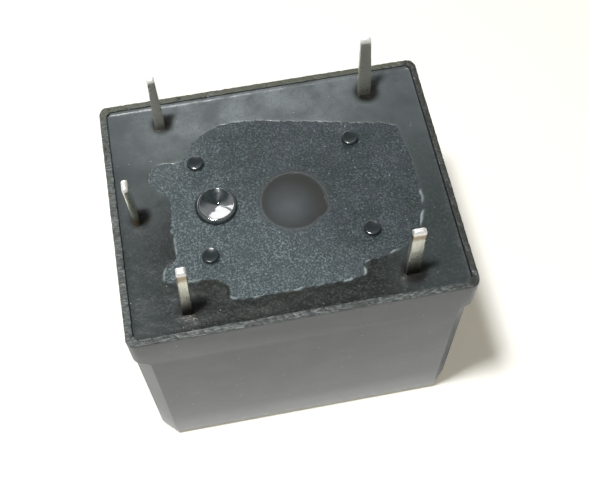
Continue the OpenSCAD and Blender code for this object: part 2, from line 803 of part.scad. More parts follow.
module armature_rivets() color([0.7, 0.66, 0.5])
  released()
    for (y = [-1, 1] * rivet_pitch / 2)
      translate([armature_rivet_x, y, armature_z - spring_t]) {
        cylinder(h = spring_t + armature_t, d = rivet_d);
        translate([0, 0, -rivet_head_h]) cylinder(h = rivet_head_h, d = rivet_head_d);
      }

module contact_spring() color([0.82, 0.6, 0.36])
  difference() {
    mid_r = spring_bend_r + spring_t / 2;
    bend_end = [bend_x, bend_z] - mid_r * normal;
    tip = bend_end + [normal.y, -normal.x] * (spring_end - bend_end.x);
    intersection() {
      along_y(-spring_w / 2, spring_w / 2)
        polygon(sheet(
          concat(
            [[yoke_out - spring_t / 2, pole_z + spring_leg]],
            arc([bend_x, bend_z], mid_r, 180, 270 - open_angle, 9),
            [tip]
          ),
          spring_t
        ));
      along_z(0, case_h)
        polygon(concat(
          [[-case_l, -spring_w / 2], [taper_x[0], -spring_w / 2], [taper_x[1], -spring_tip_w / 2]],
          arc([spring_end - spring_tip_w / 2, 0], spring_tip_w / 2, -90, 90, 8),
          [[taper_x[1], spring_tip_w / 2], [taper_x[0], spring_w / 2], [-case_l, spring_w / 2]]
        ));
    }
    // window in the bend, which leaves two straps
    block(-case_l, bend_x + window_run, strap_w - spring_w / 2, spring_w / 2 - strap_w,
      0, bend_z + 2 * window_run);
    released() {
      armature_holes(rivet_d + 2 * hole_clear);
      translate([contact_x, 0, 0]) cylinder(h = pole_z, d = shank_d + 2 * hole_clear);
    }
    both_sides(rivet_pitch / 2)
      translate([0, 0, spring_rivet_z])
        bar_x(yoke_out - 1, yoke_out + 1, rivet_d + 2 * hole_clear);
  }

module spring_rivets() color([0.7, 0.66, 0.5])
  both_sides(rivet_pitch / 2)
    translate([0, 0, spring_rivet_z]) {
      bar_x(yoke_out - spring_t, yoke_in, rivet_d);
      bar_x(yoke_out - spring_t - rivet_head_h, yoke_out - spring_t, rivet_head_d);
    }

// Crowned head that stands on z = 0
module contact_head()
  intersection() {
    cylinder(h = moving_h, d = contact_d);
    translate([0, 0, moving_h - crown_r]) sphere(crown_r);
  }

module moving_contact() color([0.86, 0.86, 0.84])
  released()
    translate([contact_x, 0, armature_z]) {
      contact_head();
      translate([0, 0, -spring_t]) {
        cylinder(h = spring_t, d = shank_d);
        mirror([0, 0, 1]) contact_head();
      }
    }

case();
base();
sealing_resin();
vent_seal();
bobbin();
coil_winding();
coil_solder();
coil_terminal_back();
coil_terminal_front();
core();
yoke();
armature();
armature_rivets();
contact_spring();
spring_rivets();
moving_contact();
common_terminal();
common_rivet();
normally_closed_terminal();
normally_closed_contact();
normally_open_terminal();
normally_open_contact();
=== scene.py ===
"""Looks of a sealed five-pin relay for vehicles, lying on the closed end of its case with its pins up.

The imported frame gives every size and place. Lengths in this script are in millimetres in the row's frame,
and each mesh is scaled to metres when it is finished.
"""

from __future__ import annotations

import json
import logging
import math
from collections.abc import Callable, Iterable, Sequence
from dataclasses import dataclass
from enum import Enum

import bmesh
import bpy
import numpy as np
from mathutils import Matrix, Vector

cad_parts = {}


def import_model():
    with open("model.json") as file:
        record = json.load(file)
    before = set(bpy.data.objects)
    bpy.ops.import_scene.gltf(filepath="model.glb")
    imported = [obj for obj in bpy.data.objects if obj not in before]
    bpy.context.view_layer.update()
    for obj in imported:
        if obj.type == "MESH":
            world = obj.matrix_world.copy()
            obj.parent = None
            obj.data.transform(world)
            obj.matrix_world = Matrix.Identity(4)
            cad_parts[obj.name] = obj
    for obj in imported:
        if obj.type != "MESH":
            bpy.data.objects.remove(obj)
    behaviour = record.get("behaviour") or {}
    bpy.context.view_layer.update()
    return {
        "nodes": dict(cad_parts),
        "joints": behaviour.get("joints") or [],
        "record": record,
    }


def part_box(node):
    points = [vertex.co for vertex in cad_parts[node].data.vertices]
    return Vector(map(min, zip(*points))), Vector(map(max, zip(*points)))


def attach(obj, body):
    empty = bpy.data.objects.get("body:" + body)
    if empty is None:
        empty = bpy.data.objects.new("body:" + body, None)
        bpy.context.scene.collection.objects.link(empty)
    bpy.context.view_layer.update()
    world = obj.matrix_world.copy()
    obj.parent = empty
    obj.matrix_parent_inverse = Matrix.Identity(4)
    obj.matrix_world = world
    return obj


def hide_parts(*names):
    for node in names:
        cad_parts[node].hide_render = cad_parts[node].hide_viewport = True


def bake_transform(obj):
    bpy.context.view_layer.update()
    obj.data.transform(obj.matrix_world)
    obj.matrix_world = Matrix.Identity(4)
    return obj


LOG = logging.getLogger("relay")
MM = 0.001
Point = tuple[float, float, float]
Colour = tuple[float, float, float]
Test = Callable[[Vector, Vector], bool]
Where = Callable[[np.ndarray, np.ndarray], np.ndarray]

FACE_Z = 15.5  # height of the base's face


@dataclass(frozen=True)
class Dent:
    """A round mark in the base's face."""

    x: float
    y: float
    r: float


RECESS = Dent(0.65, -0.45, 2.15)
EJECTOR_MARK = Dent(1.8, -1.05, 0.98)
VENT_MOAT = Dent(-3.65, 0.0, 1.28)


class Body(Enum):
    """The two bodies that the armature's hinge joins."""

    RELAY = "relay"
    ARMATURE = "armature"


class Grain(Enum):
    """How a surface's fine relief runs."""

    EVEN = (1.0, 1.0, 1.0)
    ALONG_X = (0.06, 1.0, 1.0)
    ALONG_Z = (1.0, 1.0, 0.05)
    RIM = (0.3, 1.0, 1.0)


# ---- finishes ---------------------------------------------------------------


@dataclass(frozen=True)
class Patches:
    """Noise that is stepped between two of its values, for patches and specks."""

    pitch: float
    low: float
    high: float
    detail: float = 3.0
    roughness: float = 0.55
    grain: Grain = Grain.EVEN
    shift: float = 0.0


class Tree:
    """A node tree, with short methods for the nodes that the finishes and the surroundings share."""

    def __init__(self, owner: bpy.types.Material | bpy.types.World) -> None:
        """Take over the node tree of a material or a world.

        Args:
            owner: The material or world.
        """
        owner.use_nodes = True
        self.nodes = owner.node_tree.nodes
        self.links = owner.node_tree.links

    def put(self, socket: bpy.types.NodeSocket, value: object) -> None:
        """Fill a socket.

        Args:
            socket: The socket to fill.
            value: Another socket, which is linked to it, or a plain value, which is written there.
        """
        if isinstance(value, bpy.types.NodeSocket):
            self.links.new(value, socket)
        elif isinstance(value, tuple) and len(value) == 3 and socket.type == "RGBA":
            socket.default_value = (*value, 1.0)
        else:
            socket.default_value = value

    def vector(self, operation: str, a: object, b: object) -> bpy.types.NodeSocket:
        """Work on vectors.

        Args:
            operation: The vector operation's name.
            a: The first vector.
            b: The second vector, or the factor of SCALE.

        Returns:
            The result's socket: a number for DOT_PRODUCT and DISTANCE, or else a vector.
        """
        node = self.nodes.new("ShaderNodeVectorMath")
        node.operation = operation
        self.put(node.inputs[0], a)
        self.put(node.inputs["Scale" if operation == "SCALE" else 1], b)
        return node.outputs["Value" if operation in ("DOT_PRODUCT", "DISTANCE") else "Vector"]

    def maths(self, operation: str, a: object, b: object = 0.0, clamp: bool = False) -> bpy.types.NodeSocket:
        """Work on two numbers.

        Args:
            operation: The maths operation's name.
            a: The first number.
            b: The second.
            clamp: Whether the result is kept between 0 and 1.

        Returns:
            The result's socket.
        """
        node = self.nodes.new("ShaderNodeMath")
        node.operation, node.use_clamp = operation, clamp
        self.put(node.inputs[0], a)
        self.put(node.inputs[1], b)
        return node.outputs[0]

    def step(self, value: object, low: float, high: float) -> bpy.types.NodeSocket:
        """Smooth step between two values.

        Args:
            value: The number that it follows.
            low: Where the result is 0.
            high: Where the result is 1. It may be the lower of the two.

        Returns:
            The step's socket.
        """
        node = self.nodes.new("ShaderNodeMapRange")
        node.interpolation_type = "SMOOTHSTEP"
        up = high > low
        self.put(node.inputs["Value"], value)
        node.inputs["From Min"].default_value = low if up else high
        node.inputs["From Max"].default_value = high if up else low
        node.inputs["To Min"].default_value = 0.0 if up else 1.0
        node.inputs["To Max"].default_value = 1.0 if up else 0.0
        return node.outputs["Result"]

    def blend(self, share: object, a: object, b: object) -> bpy.types.NodeSocket:
        """Mix two colours.

        Args:
            share: How much of b there is, from 0 to 1.
            a: The colour at 0.
            b: The colour at 1.

        Returns:
            The mixed colour's socket.
        """
        node = self.nodes.new("ShaderNodeMix")
        node.data_type = "RGBA"
        # the sockets of a colour mix come after those of the other data types
        for index, value in ((0, share), (6, a), (7, b)):
            self.put(node.inputs[index], value)
        return node.outputs[2]

    def between(self, share: object, a: float, b: float) -> bpy.types.NodeSocket:
        """A number that is a where share is 0 and b where it is 1."""
        return self.maths("ADD", self.maths("MULTIPLY", share, b - a), a)

    def product(self, first: object, *others: object) -> bpy.types.NodeSocket:
        """Multiply several numbers.

        Args:
            first: The first number.
            others: The rest.

        Returns:
            The product's socket.
        """
        for other in others:
            first = self.maths("MULTIPLY", first, other)
        return first

    def over(self, base: object, *layers: tuple[object, object]) -> bpy.types.NodeSocket:
        """Lay colours over a base.

        Args:
            base: The lowest colour.
            layers: Each layer's share, from 0 to 1, and its colour, from the lowest up.

        Returns:
            The resulting colour's socket.
        """
        for share, colour in layers:
            base = self.blend(share, base, colour)
        return base

    def seen_in_gloss(self) -> bpy.types.NodeSocket:
        """1 for what the camera sees in a shiny or clear surface, or else 0."""
        path = self.nodes.new("ShaderNodeLightPath")
        return self.maths("MAXIMUM", path.outputs["Is Glossy Ray"], path.outputs["Is Transmission Ray"])

    def seen_by_camera(self) -> bpy.types.NodeSocket:
        """1 for what the camera sees at first hand, or else 0."""
        return self.nodes.new("ShaderNodeLightPath").outputs["Is Camera Ray"]


class Shader(Tree):
    """A material with one principled shader, whose patterns are laid out in millimetres on its object."""

    def __init__(self, name: str) -> None:
        """Start a material.

        Args:
            name: The material's name.
        """
        self.material = bpy.data.materials.new(name)
        super().__init__(self.material)
        self.nodes.clear()
        out = self.nodes.new("ShaderNodeOutputMaterial")
        self.surface = self.nodes.new("ShaderNodeBsdfPrincipled")
        self.links.new(self.surface.outputs[0], out.inputs["Surface"])
        place = self.nodes.new("ShaderNodeTexCoord")
        self.place = self.vector("SCALE", place.outputs["Object"], 1 / MM)

    def axis(self, name: str) -> bpy.types.NodeSocket:
        """Take one coordinate of the surface point.

        Args:
            name: The coordinate: X, Y or Z.

        Returns:
            Its socket, in millimetres.
        """
        node = self.nodes.new("ShaderNodeSeparateXYZ")
        self.links.new(self.place, node.inputs[0])
        return node.outputs[name]

    def attribute(self, name: str) -> bpy.types.NodeSocket:
        """Take a number that the mesh holds at each of its points.

        Args:
            name: The number's name in the mesh.

        Returns:
            Its socket.
        """
        node = self.nodes.new("ShaderNodeAttribute")
        node.attribute_name = name
        return node.outputs["Fac"]

    def within(self, dent: Dent, soft: float) -> bpy.types.NodeSocket:
        """1 inside a round mark and 0 outside, with a soft edge of the given width."""
        away = self.vector("DISTANCE", self.vector("MULTIPLY", self.place, (1, 1, 0)), (dent.x, dent.y, 0))
        return self.step(away, dent.r, dent.r - soft)

    def noise(
        self, pitch: float, detail: float = 3.0, roughness: float = 0.55, grain: Grain = Grain.EVEN,
        shift: float = 0.0,
    ) -> bpy.types.NodeSocket:
        """Noise from 0 to 1.

        Args:
            pitch: Size of its largest features, in millimetres.
            detail: Number of finer layers.
            roughness: Strength of each finer layer.
            grain: Direction in which the features are drawn out.
            shift: Distance to another part of the pattern.

        Returns:
            The noise's socket.
        """
        node = self.nodes.new("ShaderNodeTexNoise")
        node.inputs["Scale"].default_value = 1 / pitch
        node.inputs["Detail"].default_value = detail
        node.inputs["Roughness"].default_value = roughness
        drawn = self.vector("MULTIPLY", self.place, grain.value)
        self.links.new(self.vector("ADD", drawn, (shift, shift, shift)), node.inputs["Vector"])
        return node.outputs["Fac"]

    def patches(self, kind: Patches) -> bpy.types.NodeSocket:
        """1 inside patches and 0 between them, with soft edges."""
        noise = self.noise(kind.pitch, kind.detail, kind.roughness, kind.grain, kind.shift)
        return self.step(noise, kind.low, kind.high)

    def relief(self, *layers: tuple[object, float]) -> bpy.types.NodeSocket:
        """Bumps, each over the one before.

        Args:
            layers: Each bump's height, from 0 to 1, and what a height of 1 stands for, in millimetres.

        Returns:
            The normal's socket.
        """
        normal = None
        for height, depth in layers:
            node = self.nodes.new("ShaderNodeBump")
            node.inputs["Strength"].default_value = 1.0
            node.inputs["Distance"].default_value = depth * MM
            self.put(node.inputs["Height"], height)
            if normal is not None:
                self.links.new(normal, node.inputs["Normal"])
            normal = node.outputs["Normal"]
        return normal

    def finish(self, **sockets: object) -> bpy.types.Material:
        """Fill the shader's sockets.

        Args:
            sockets: Values or sockets by name, with _ in place of each space.

        Returns:
            The finished material.
        """
        for name, value in sockets.items():
            self.put(self.surface.inputs[name.replace("_", " ")], value)
        return self.material


@dataclass(frozen=True)
class CasePlastic:
    """Satin black thermoplastic of the case, paler in patches towards the closed end, with painted reflection
    of the floor that makes it paler still towards the closed end, and a torn, speckled rim.
    """

    rim: float
    rim_depth: float = 0.06
    end_patch_span: tuple[float, float] = (5.5, 0.2)
    painted_sheen_span: tuple[float, float] = (9.0, 3.0)
    floor_sheen_span: tuple[float, float] = (3.9, 0.4)
    edge_span: tuple[float, float] = (1.3, 0.2)
    end_patch: float = 0.45
    painted_sheen: float = 0.075
    floor_sheen: float = 0.6
    edge: float = 0.35
    olive_from: float = 6.6
    dark_from: float = 8.6
    tone_soft: float = 0.4
    tear_depth: float = 0.09
    end_patches: Patches = Patches(3.5, 0.25, 0.7, 4, shift=2)
    worn_patches: Patches = Patches(2.5, 0.35, 0.75, 4)
    dust_specks: Patches = Patches(0.13, 0.79, 0.82, 1, shift=19)
    rim_specks: Patches = Patches(0.1, 0.4, 0.68, 2, 0.6, Grain.RIM, 7)
    rim_patches: Patches = Patches(1.2, 0.25, 0.6)
    colour: Colour = (0.039, 0.045, 0.044)
    worn: Colour = (0.062, 0.068, 0.067)
    end_patch_tone: Colour = (0.14, 0.147, 0.144)
    floor_sheen_tone: Colour = (0.36, 0.365, 0.362)
    rim_colour: Colour = (0.022, 0.027, 0.025)
    rim_speck: Colour = (0.13, 0.156, 0.147)
    rim_dark: Colour = (0.012, 0.014, 0.009)
    rim_olive: Colour = (0.06, 0.065, 0.042)
    pale: Colour = (0.55, 0.55, 0.54)
    dust: Colour = (0.6, 0.6, 0.6)

    def build(self) -> bpy.types.Material:
        """Make the material."""
        s = Shader("case_plastic")
        height = s.axis("Z")
        on_rim = s.step(height, self.rim - self.rim_depth, self.rim - self.rim_depth / 3)
        # paler in patches towards the closed end
        end_patch = s.product(s.step(height, *self.end_patch_span), s.patches(self.end_patches))
        # painted reflection of the white floor: the sides grow paler towards the closed end
        painted_sheen = s.product(s.step(height, *self.painted_sheen_span), self.painted_sheen)
        floor_sheen = s.maths("ADD", s.product(s.step(height, *self.floor_sheen_span), self.floor_sheen), painted_sheen)
        side = s.over(
            self.colour,
            (s.patches(self.worn_patches), self.worn),
            (s.product(end_patch, self.end_patch), self.end_patch_tone),
            # painted reflection of the floor, strongest near the closed end
            (s.product(floor_sheen, s.between(s.noise(1.3, 3, shift=37), 0.7, 1.3)), self.floor_sheen_tone),
            # painted reflection of the floor on the rounded edge at the closed end
            (s.product(s.step(height, *self.edge_span), self.edge), self.pale),
            (s.patches(self.dust_specks), self.dust),
        )
        speck = s.product(s.patches(self.rim_specks), s.patches(self.rim_patches))
        rim = s.blend(speck, self.rim_colour, self.rim_speck)
        for way, start, tone in (
            ("Y", self.olive_from, self.rim_olive), ("X", self.dark_from, self.rim_dark),
        ):
            far = s.step(s.axis(way), start, start + self.tone_soft)
            rim = s.blend(s.product(far, s.between(speck, 1.0, 0.8)), rim, tone)
        tears = s.product(s.noise(0.2, 3, 0.5, Grain.RIM, 3), on_rim)
        return s.finish(
            Base_Color=s.blend(on_rim, side, rim), Roughness=s.between(on_rim, 0.34, 0.55),
            Specular_IOR_Level=0.6,
            Normal=s.relief((s.noise(0.5, 3), 0.006), (s.noise(0.09, 2), 0.003), (tears, self.tear_depth)),
        )


@dataclass(frozen=True)
class BasePlastic:
    """Spark-textured black thermoplastic, with a smooth recess and smooth feet, and with painted light: paler
    towards the front-left, paler in the middle of the recess, paler towards the back-left for a thin film of
    resin with a painted sheen, painted glints on the grain, and a painted shade ring round the vent.
    """

    pale_side: Point = (-0.7, -0.7, 0.0)
    film_sheen_side: Point = (-0.75, 0.66, 0.0)
    painted_sheen: Dent = Dent(RECESS.x - 0.3, RECESS.y - 0.3, 2.2)
    painted_sheen_soft: float = 2.4
    recess_soft: float = 0.5
    mark_soft: float = 0.4
    moat_soft: float = 0.14
    foot_span: tuple[float, float] = (0.08, 0.14)
    pale_span: tuple[float, float] = (0.0, 8.0)
    pale_wobble: float = 6.0
    film_sheen_span: tuple[float, float] = (4.6, 7.0)
    film_sheen: float = 0.85
    speck_span: tuple[float, float] = (0.46, 0.64)
    blue_patches: Patches = Patches(1.6, 0.38, 0.62)
    speck_patches: Patches = Patches(0.7, 0.3, 0.7, 3, 0.6, shift=31)
    bright_specks: Patches = Patches(0.15, 0.66, 0.74, 2, 0.6, shift=4)
    grain_pitch: float = 0.115
    grain_depth: float = 0.14
    teal: Colour = (0.009, 0.019, 0.019)
    blue: Colour = (0.022, 0.03, 0.042)
    speck: Colour = (0.15, 0.195, 0.2)
    bright: Colour = (0.4, 0.46, 0.48)
    pale: Colour = (0.042, 0.066, 0.073)
    sparkle: Colour = (0.34, 0.405, 0.425)
    film_sheen_tone: Colour = (0.06, 0.08, 0.083)
    foot: Colour = (0.02, 0.027, 0.029)
    smooth: Colour = (0.026, 0.028, 0.025)
    sheen_tone: Colour = (0.075, 0.085, 0.09)
    shade: Colour = (0.004, 0.005, 0.005)

    def build(self) -> bpy.types.Material:
        """Make the material."""
        s = Shader("base_plastic")
        mark = s.within(EJECTOR_MARK, self.mark_soft)
        recess = s.maths("MAXIMUM", s.within(RECESS, self.recess_soft), mark)
        foot = s.step(s.maths("SUBTRACT", s.axis("Z"), FACE_Z), *self.foot_span)
        smooth = s.maths("MAXIMUM", recess, foot)
        rough_skin = s.maths("SUBTRACT", 1.0, smooth)
        grain = s.noise(self.grain_pitch, 4, 0.85)
        slope = s.vector("DOT_PRODUCT", s.place, self.pale_side)
        wobble = s.product(s.noise(2.5, 3, shift=6), self.pale_wobble)
        # painted light: the front-left of the face is paler, with a wavy border
        lit = s.step(s.maths("ADD", slope, wobble), *self.pale_span)
        # paler towards the back-left: a thin resin film there, with a painted sheen on it
        film_sheen = s.step(s.vector("DOT_PRODUCT", s.place, self.film_sheen_side), *self.film_sheen_span)
        patch = s.between(s.patches(self.speck_patches), 0.45, 1.0)
        grains = s.product(s.step(grain, *self.speck_span), rough_skin, patch)
        # painted light: the middle of the recess is paler than its edges
        middle = s.product(s.within(self.painted_sheen, self.painted_sheen_soft), s.between(s.noise(1.1, 2), 0.6, 1.4))
        tone = s.over(
            self.teal,
            (s.patches(self.blue_patches), self.blue),
            (lit, self.pale),
            (s.product(film_sheen, self.film_sheen), self.film_sheen_tone),
            # painted glints: the pale grains, paler still in the painted lit part, and the bright specks
            (grains, s.blend(lit, self.speck, self.sparkle)),
            (s.product(s.patches(self.bright_specks), rough_skin), self.bright),
            (recess, s.blend(middle, self.smooth, self.sheen_tone)),
            (foot, self.foot),
            (s.within(VENT_MOAT, self.moat_soft), self.shade),
        )
        pits = s.product(s.maths("SUBTRACT", grain, 0.5), rough_skin)
        return s.finish(
            Base_Color=tone, Specular_IOR_Level=0.6,
            Roughness=s.maths("SUBTRACT", s.between(smooth, 0.42, 0.33), s.product(foot, 0.1)),
            Normal=s.relief((pits, self.grain_depth), (s.noise(0.3, 3), 0.006)),
        )


@dataclass(frozen=True)
class CastResin:
    """Black casting resin with a painted sheen towards the back, painted shadows beside the pins, a painted
    highlight along its edge, and scattered dust.
    """

    back: float
    front: float
    middle_x: float = -0.8
    shadow_drift: float = 0.15
    shadow_reach: float = 0.6
    shadow_soft: float = 0.5
    side_span: tuple[float, float] = (4.5, 8.0)
    side_share: float = 0.9
    back_sheen_span: tuple[float, float] = (4.0, 9.0)
    fleck_share: float = 0.8
    glint_span: tuple[float, float] = (4.0, 1.0)
    olive_patches: Patches = Patches(1.7, 0.4, 0.65, shift=23)
    fleck_specks: Patches = Patches(0.13, 0.48, 0.68, 4, 0.85, shift=13)
    dust_specks: Patches = Patches(0.16, 0.74, 0.79, 2, 0.5, shift=11)
    colour: Colour = (0.005, 0.007, 0.006)
    olive: Colour = (0.011, 0.013, 0.01)
    back_sheen: Colour = (0.2, 0.224, 0.232)
    side: Colour = (0.034, 0.043, 0.043)
    fleck: Colour = (0.075, 0.09, 0.088)
    stain_and_shadow: Colour = (0.006, 0.006, 0.005)
    dust: Colour = (0.6, 0.62, 0.64)
    crest_glint: Colour = (0.3, 0.36, 0.36)

    def build(self) -> bpy.types.Material:
        """Make the material."""
        s = Shader("resin")
        cloud = s.noise(2.2, 5, 0.6)
        across = s.maths("ABSOLUTE", s.maths("SUBTRACT", s.axis("X"), self.middle_x))
        along = s.step(s.axis("Y"), self.front, self.back)
        # painted reflection: the resin grows paler towards the back, in cloudy patches, less at its sides
        back_sheen = s.product(along, s.between(s.step(cloud, 0.3, 0.7), 0.5, 1.0))
        # painted shadow: a dark patch round each pin, shifted towards +x, where its shadow falls
        stains_and_shadows = [
            Dent(pin.x + self.shadow_drift, pin.y, pin.wide / 2 + self.shadow_reach) for pin in PINS.values()
        ]
        tone = s.over(
            self.colour,
            (s.patches(self.olive_patches), self.olive),
            (s.product(s.step(across, *self.side_span), self.side_share), self.side),
            (s.product(back_sheen, s.between(s.step(across, *self.back_sheen_span), 1.0, 0.4)), self.back_sheen),
            (s.product(s.patches(self.fleck_specks), self.fleck_share), self.fleck),
            *((s.within(stain_and_shadow, self.shadow_soft), self.stain_and_shadow) for stain_and_shadow in stains_and_shadows),
            # painted highlight: a bright line along the resin's edge, fading out towards the back
            (s.product(s.attribute("crest_glint"), s.step(s.axis("Y"), *self.glint_span)), self.crest_glint),
            (s.patches(self.dust_specks), self.dust),
        )
        return s.finish(
            Base_Color=tone, Roughness=s.between(cloud, 0.27, 0.38), Specular_IOR_Level=0.5,
            Normal=s.relief((s.noise(1.2, 3), 0.02), (s.noise(0.12, 3), 0.012)),
        )


@dataclass(frozen=True)
class GlossResin:
    """Glossy black resin in the vent."""

    colour: Colour = (0.012, 0.02, 0.02)
    pale: Colour = (0.032, 0.048, 0.054)
    pale_patches: Patches = Patches(0.5, 0.35, 0.7, 2)

    def build(self) -> bpy.types.Material:
        """Make the material."""
        s = Shader("vent_resin")
        return s.finish(
            Base_Color=s.blend(s.patches(self.pale_patches), self.colour, self.pale),
            Roughness=s.between(s.noise(0.4, 2), 0.07, 0.15), IOR=2.2,
            Coat_Weight=1.0, Coat_Roughness=0.06, Coat_IOR=2.0, Normal=s.relief((s.noise(0.5, 2), 0.01)),
        )


@dataclass(frozen=True)
class TinnedMetal:
    """Bright tin over copper alloy, brown under the cut tip and at the foot, with painted shade darkening the
    pins towards their feet, most on the front pins, and a painted duller tone on the back pins.
    """

    foot: float
    tip: float
    cut: tuple[float, float] = (0.25, 0.14)
    common_drop: float = 0.5
    common_reach: float = 1.5
    front_span: tuple[float, float] = (-2.0, -4.0)
    behind_span: tuple[float, float] = (3.0, 4.0)
    foot_span: tuple[float, float] = (2.1, 0.2)
    stain_span: tuple[float, float] = (1.3, 0.5)
    band_span: tuple[float, float] = (-0.95, -0.5)
    band_share: float = 0.8
    colour: Colour = (0.66, 0.65, 0.53)
    bright: Colour = (0.8, 0.79, 0.69)
    tip_colour: Colour = (0.93, 0.92, 0.88)
    stain_and_shadow: Colour = (0.3, 0.21, 0.11)
    dark: Colour = (0.06, 0.055, 0.042)
    dull: Colour = (0.62, 0.61, 0.52)

    def build(self) -> bpy.types.Material:
        """Make the material."""
        s = Shader("tinned_metal")
        height = s.axis("Z")
        streaks = s.noise(0.18, 4, grain=Grain.ALONG_Z)
        wobble = s.maths("SUBTRACT", s.product(s.noise(0.5, 2), 0.5), 0.25)
        place = s.maths("ADD", height, wobble)
        in_front = s.step(s.axis("Y"), *self.front_span)
        behind = s.step(s.axis("Y"), *self.behind_span)
        common = s.within(Dent(PINS["common_terminal"].x, 0.0, self.common_reach), 0.1)
        start, full = (self.tip - depth for depth in self.cut)
        foot = s.step(place, *(self.foot + rise for rise in self.foot_span))
        stain_and_shadow = s.step(place, *(self.foot + rise for rise in self.stain_span))
        band = s.step(place, *(self.tip + rise for rise in self.band_span))
        common_tip = s.product(common, s.step(height, start - self.common_drop, full - self.common_drop))
        tip = s.maths("MAXIMUM", s.step(height, start, full), common_tip)
        tone = s.over(
            self.colour,
            (s.step(streaks, 0.3, 0.7), self.bright),
            # painted reflection: the back pins get a duller colour, and less metal, for their dimmer
            # reflections
            (behind, self.dull),
            # painted shade: the pins darken towards their feet, the front pins most
            (s.product(foot, s.between(in_front, 0.45, 1.0)), self.dark),
            (s.product(common, stain_and_shadow), self.stain_and_shadow),
            (s.product(band, s.step(height, full, start), in_front, self.band_share), self.stain_and_shadow),
            (tip, self.tip_colour),
        )
        return s.finish(
            Base_Color=tone, Metallic=s.between(behind, 1.0, 0.72),
            Roughness=s.maths("ADD", s.between(s.noise(0.4), 0.22, 0.36), s.product(tip, 0.2)),
            Normal=s.relief((streaks, 0.002), (s.noise(0.5, 1), 0.006)),
        )


@dataclass(frozen=True)
class Metal:
    """Rolled, turned or plated metal with fine streaks and faint stains."""

    name: str
    colour: Colour
    stain_and_shadow: Colour
    roughness: float
    grain: Grain = Grain.EVEN
    depth: float = 0.004
    stains_and_shadows: Patches = Patches(1.1, 0.5, 0.85, 4, shift=5)
    spread: float = 0.1

    def build(self) -> bpy.types.Material:
        """Make the material."""
        s = Shader(self.name)
        streaks = s.noise(0.12, 4, grain=self.grain)
        rough = s.between(streaks, self.roughness - self.spread, self.roughness + self.spread)
        return s.finish(
            Base_Color=s.blend(s.patches(self.stains_and_shadows), self.colour, self.stain_and_shadow), Metallic=1.0,
            Roughness=rough, Normal=s.relief((streaks, self.depth)),
        )


@dataclass(frozen=True)
class NaturalPlastic:
    """Uncoloured moulded thermoplastic of the bobbin."""

    colour: Colour = (0.6, 0.56, 0.46)
    pale: Colour = (0.68, 0.65, 0.56)

    def build(self) -> bpy.types.Material:
        """Make the material."""
        s = Shader("bobbin_plastic")
        return s.finish(
            Base_Color=s.blend(s.noise(1.5, 3), self.colour, self.pale),
            Roughness=s.between(s.noise(0.8), 0.38, 0.52), Normal=s.relief((s.noise(0.15, 3), 0.006)),
        )


# ---- modelling --------------------------------------------------------------


def corners(node: str) -> tuple[Vector, Vector]:
    """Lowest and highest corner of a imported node, in millimetres."""
    low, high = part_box(node)
    return low / MM, high / MM


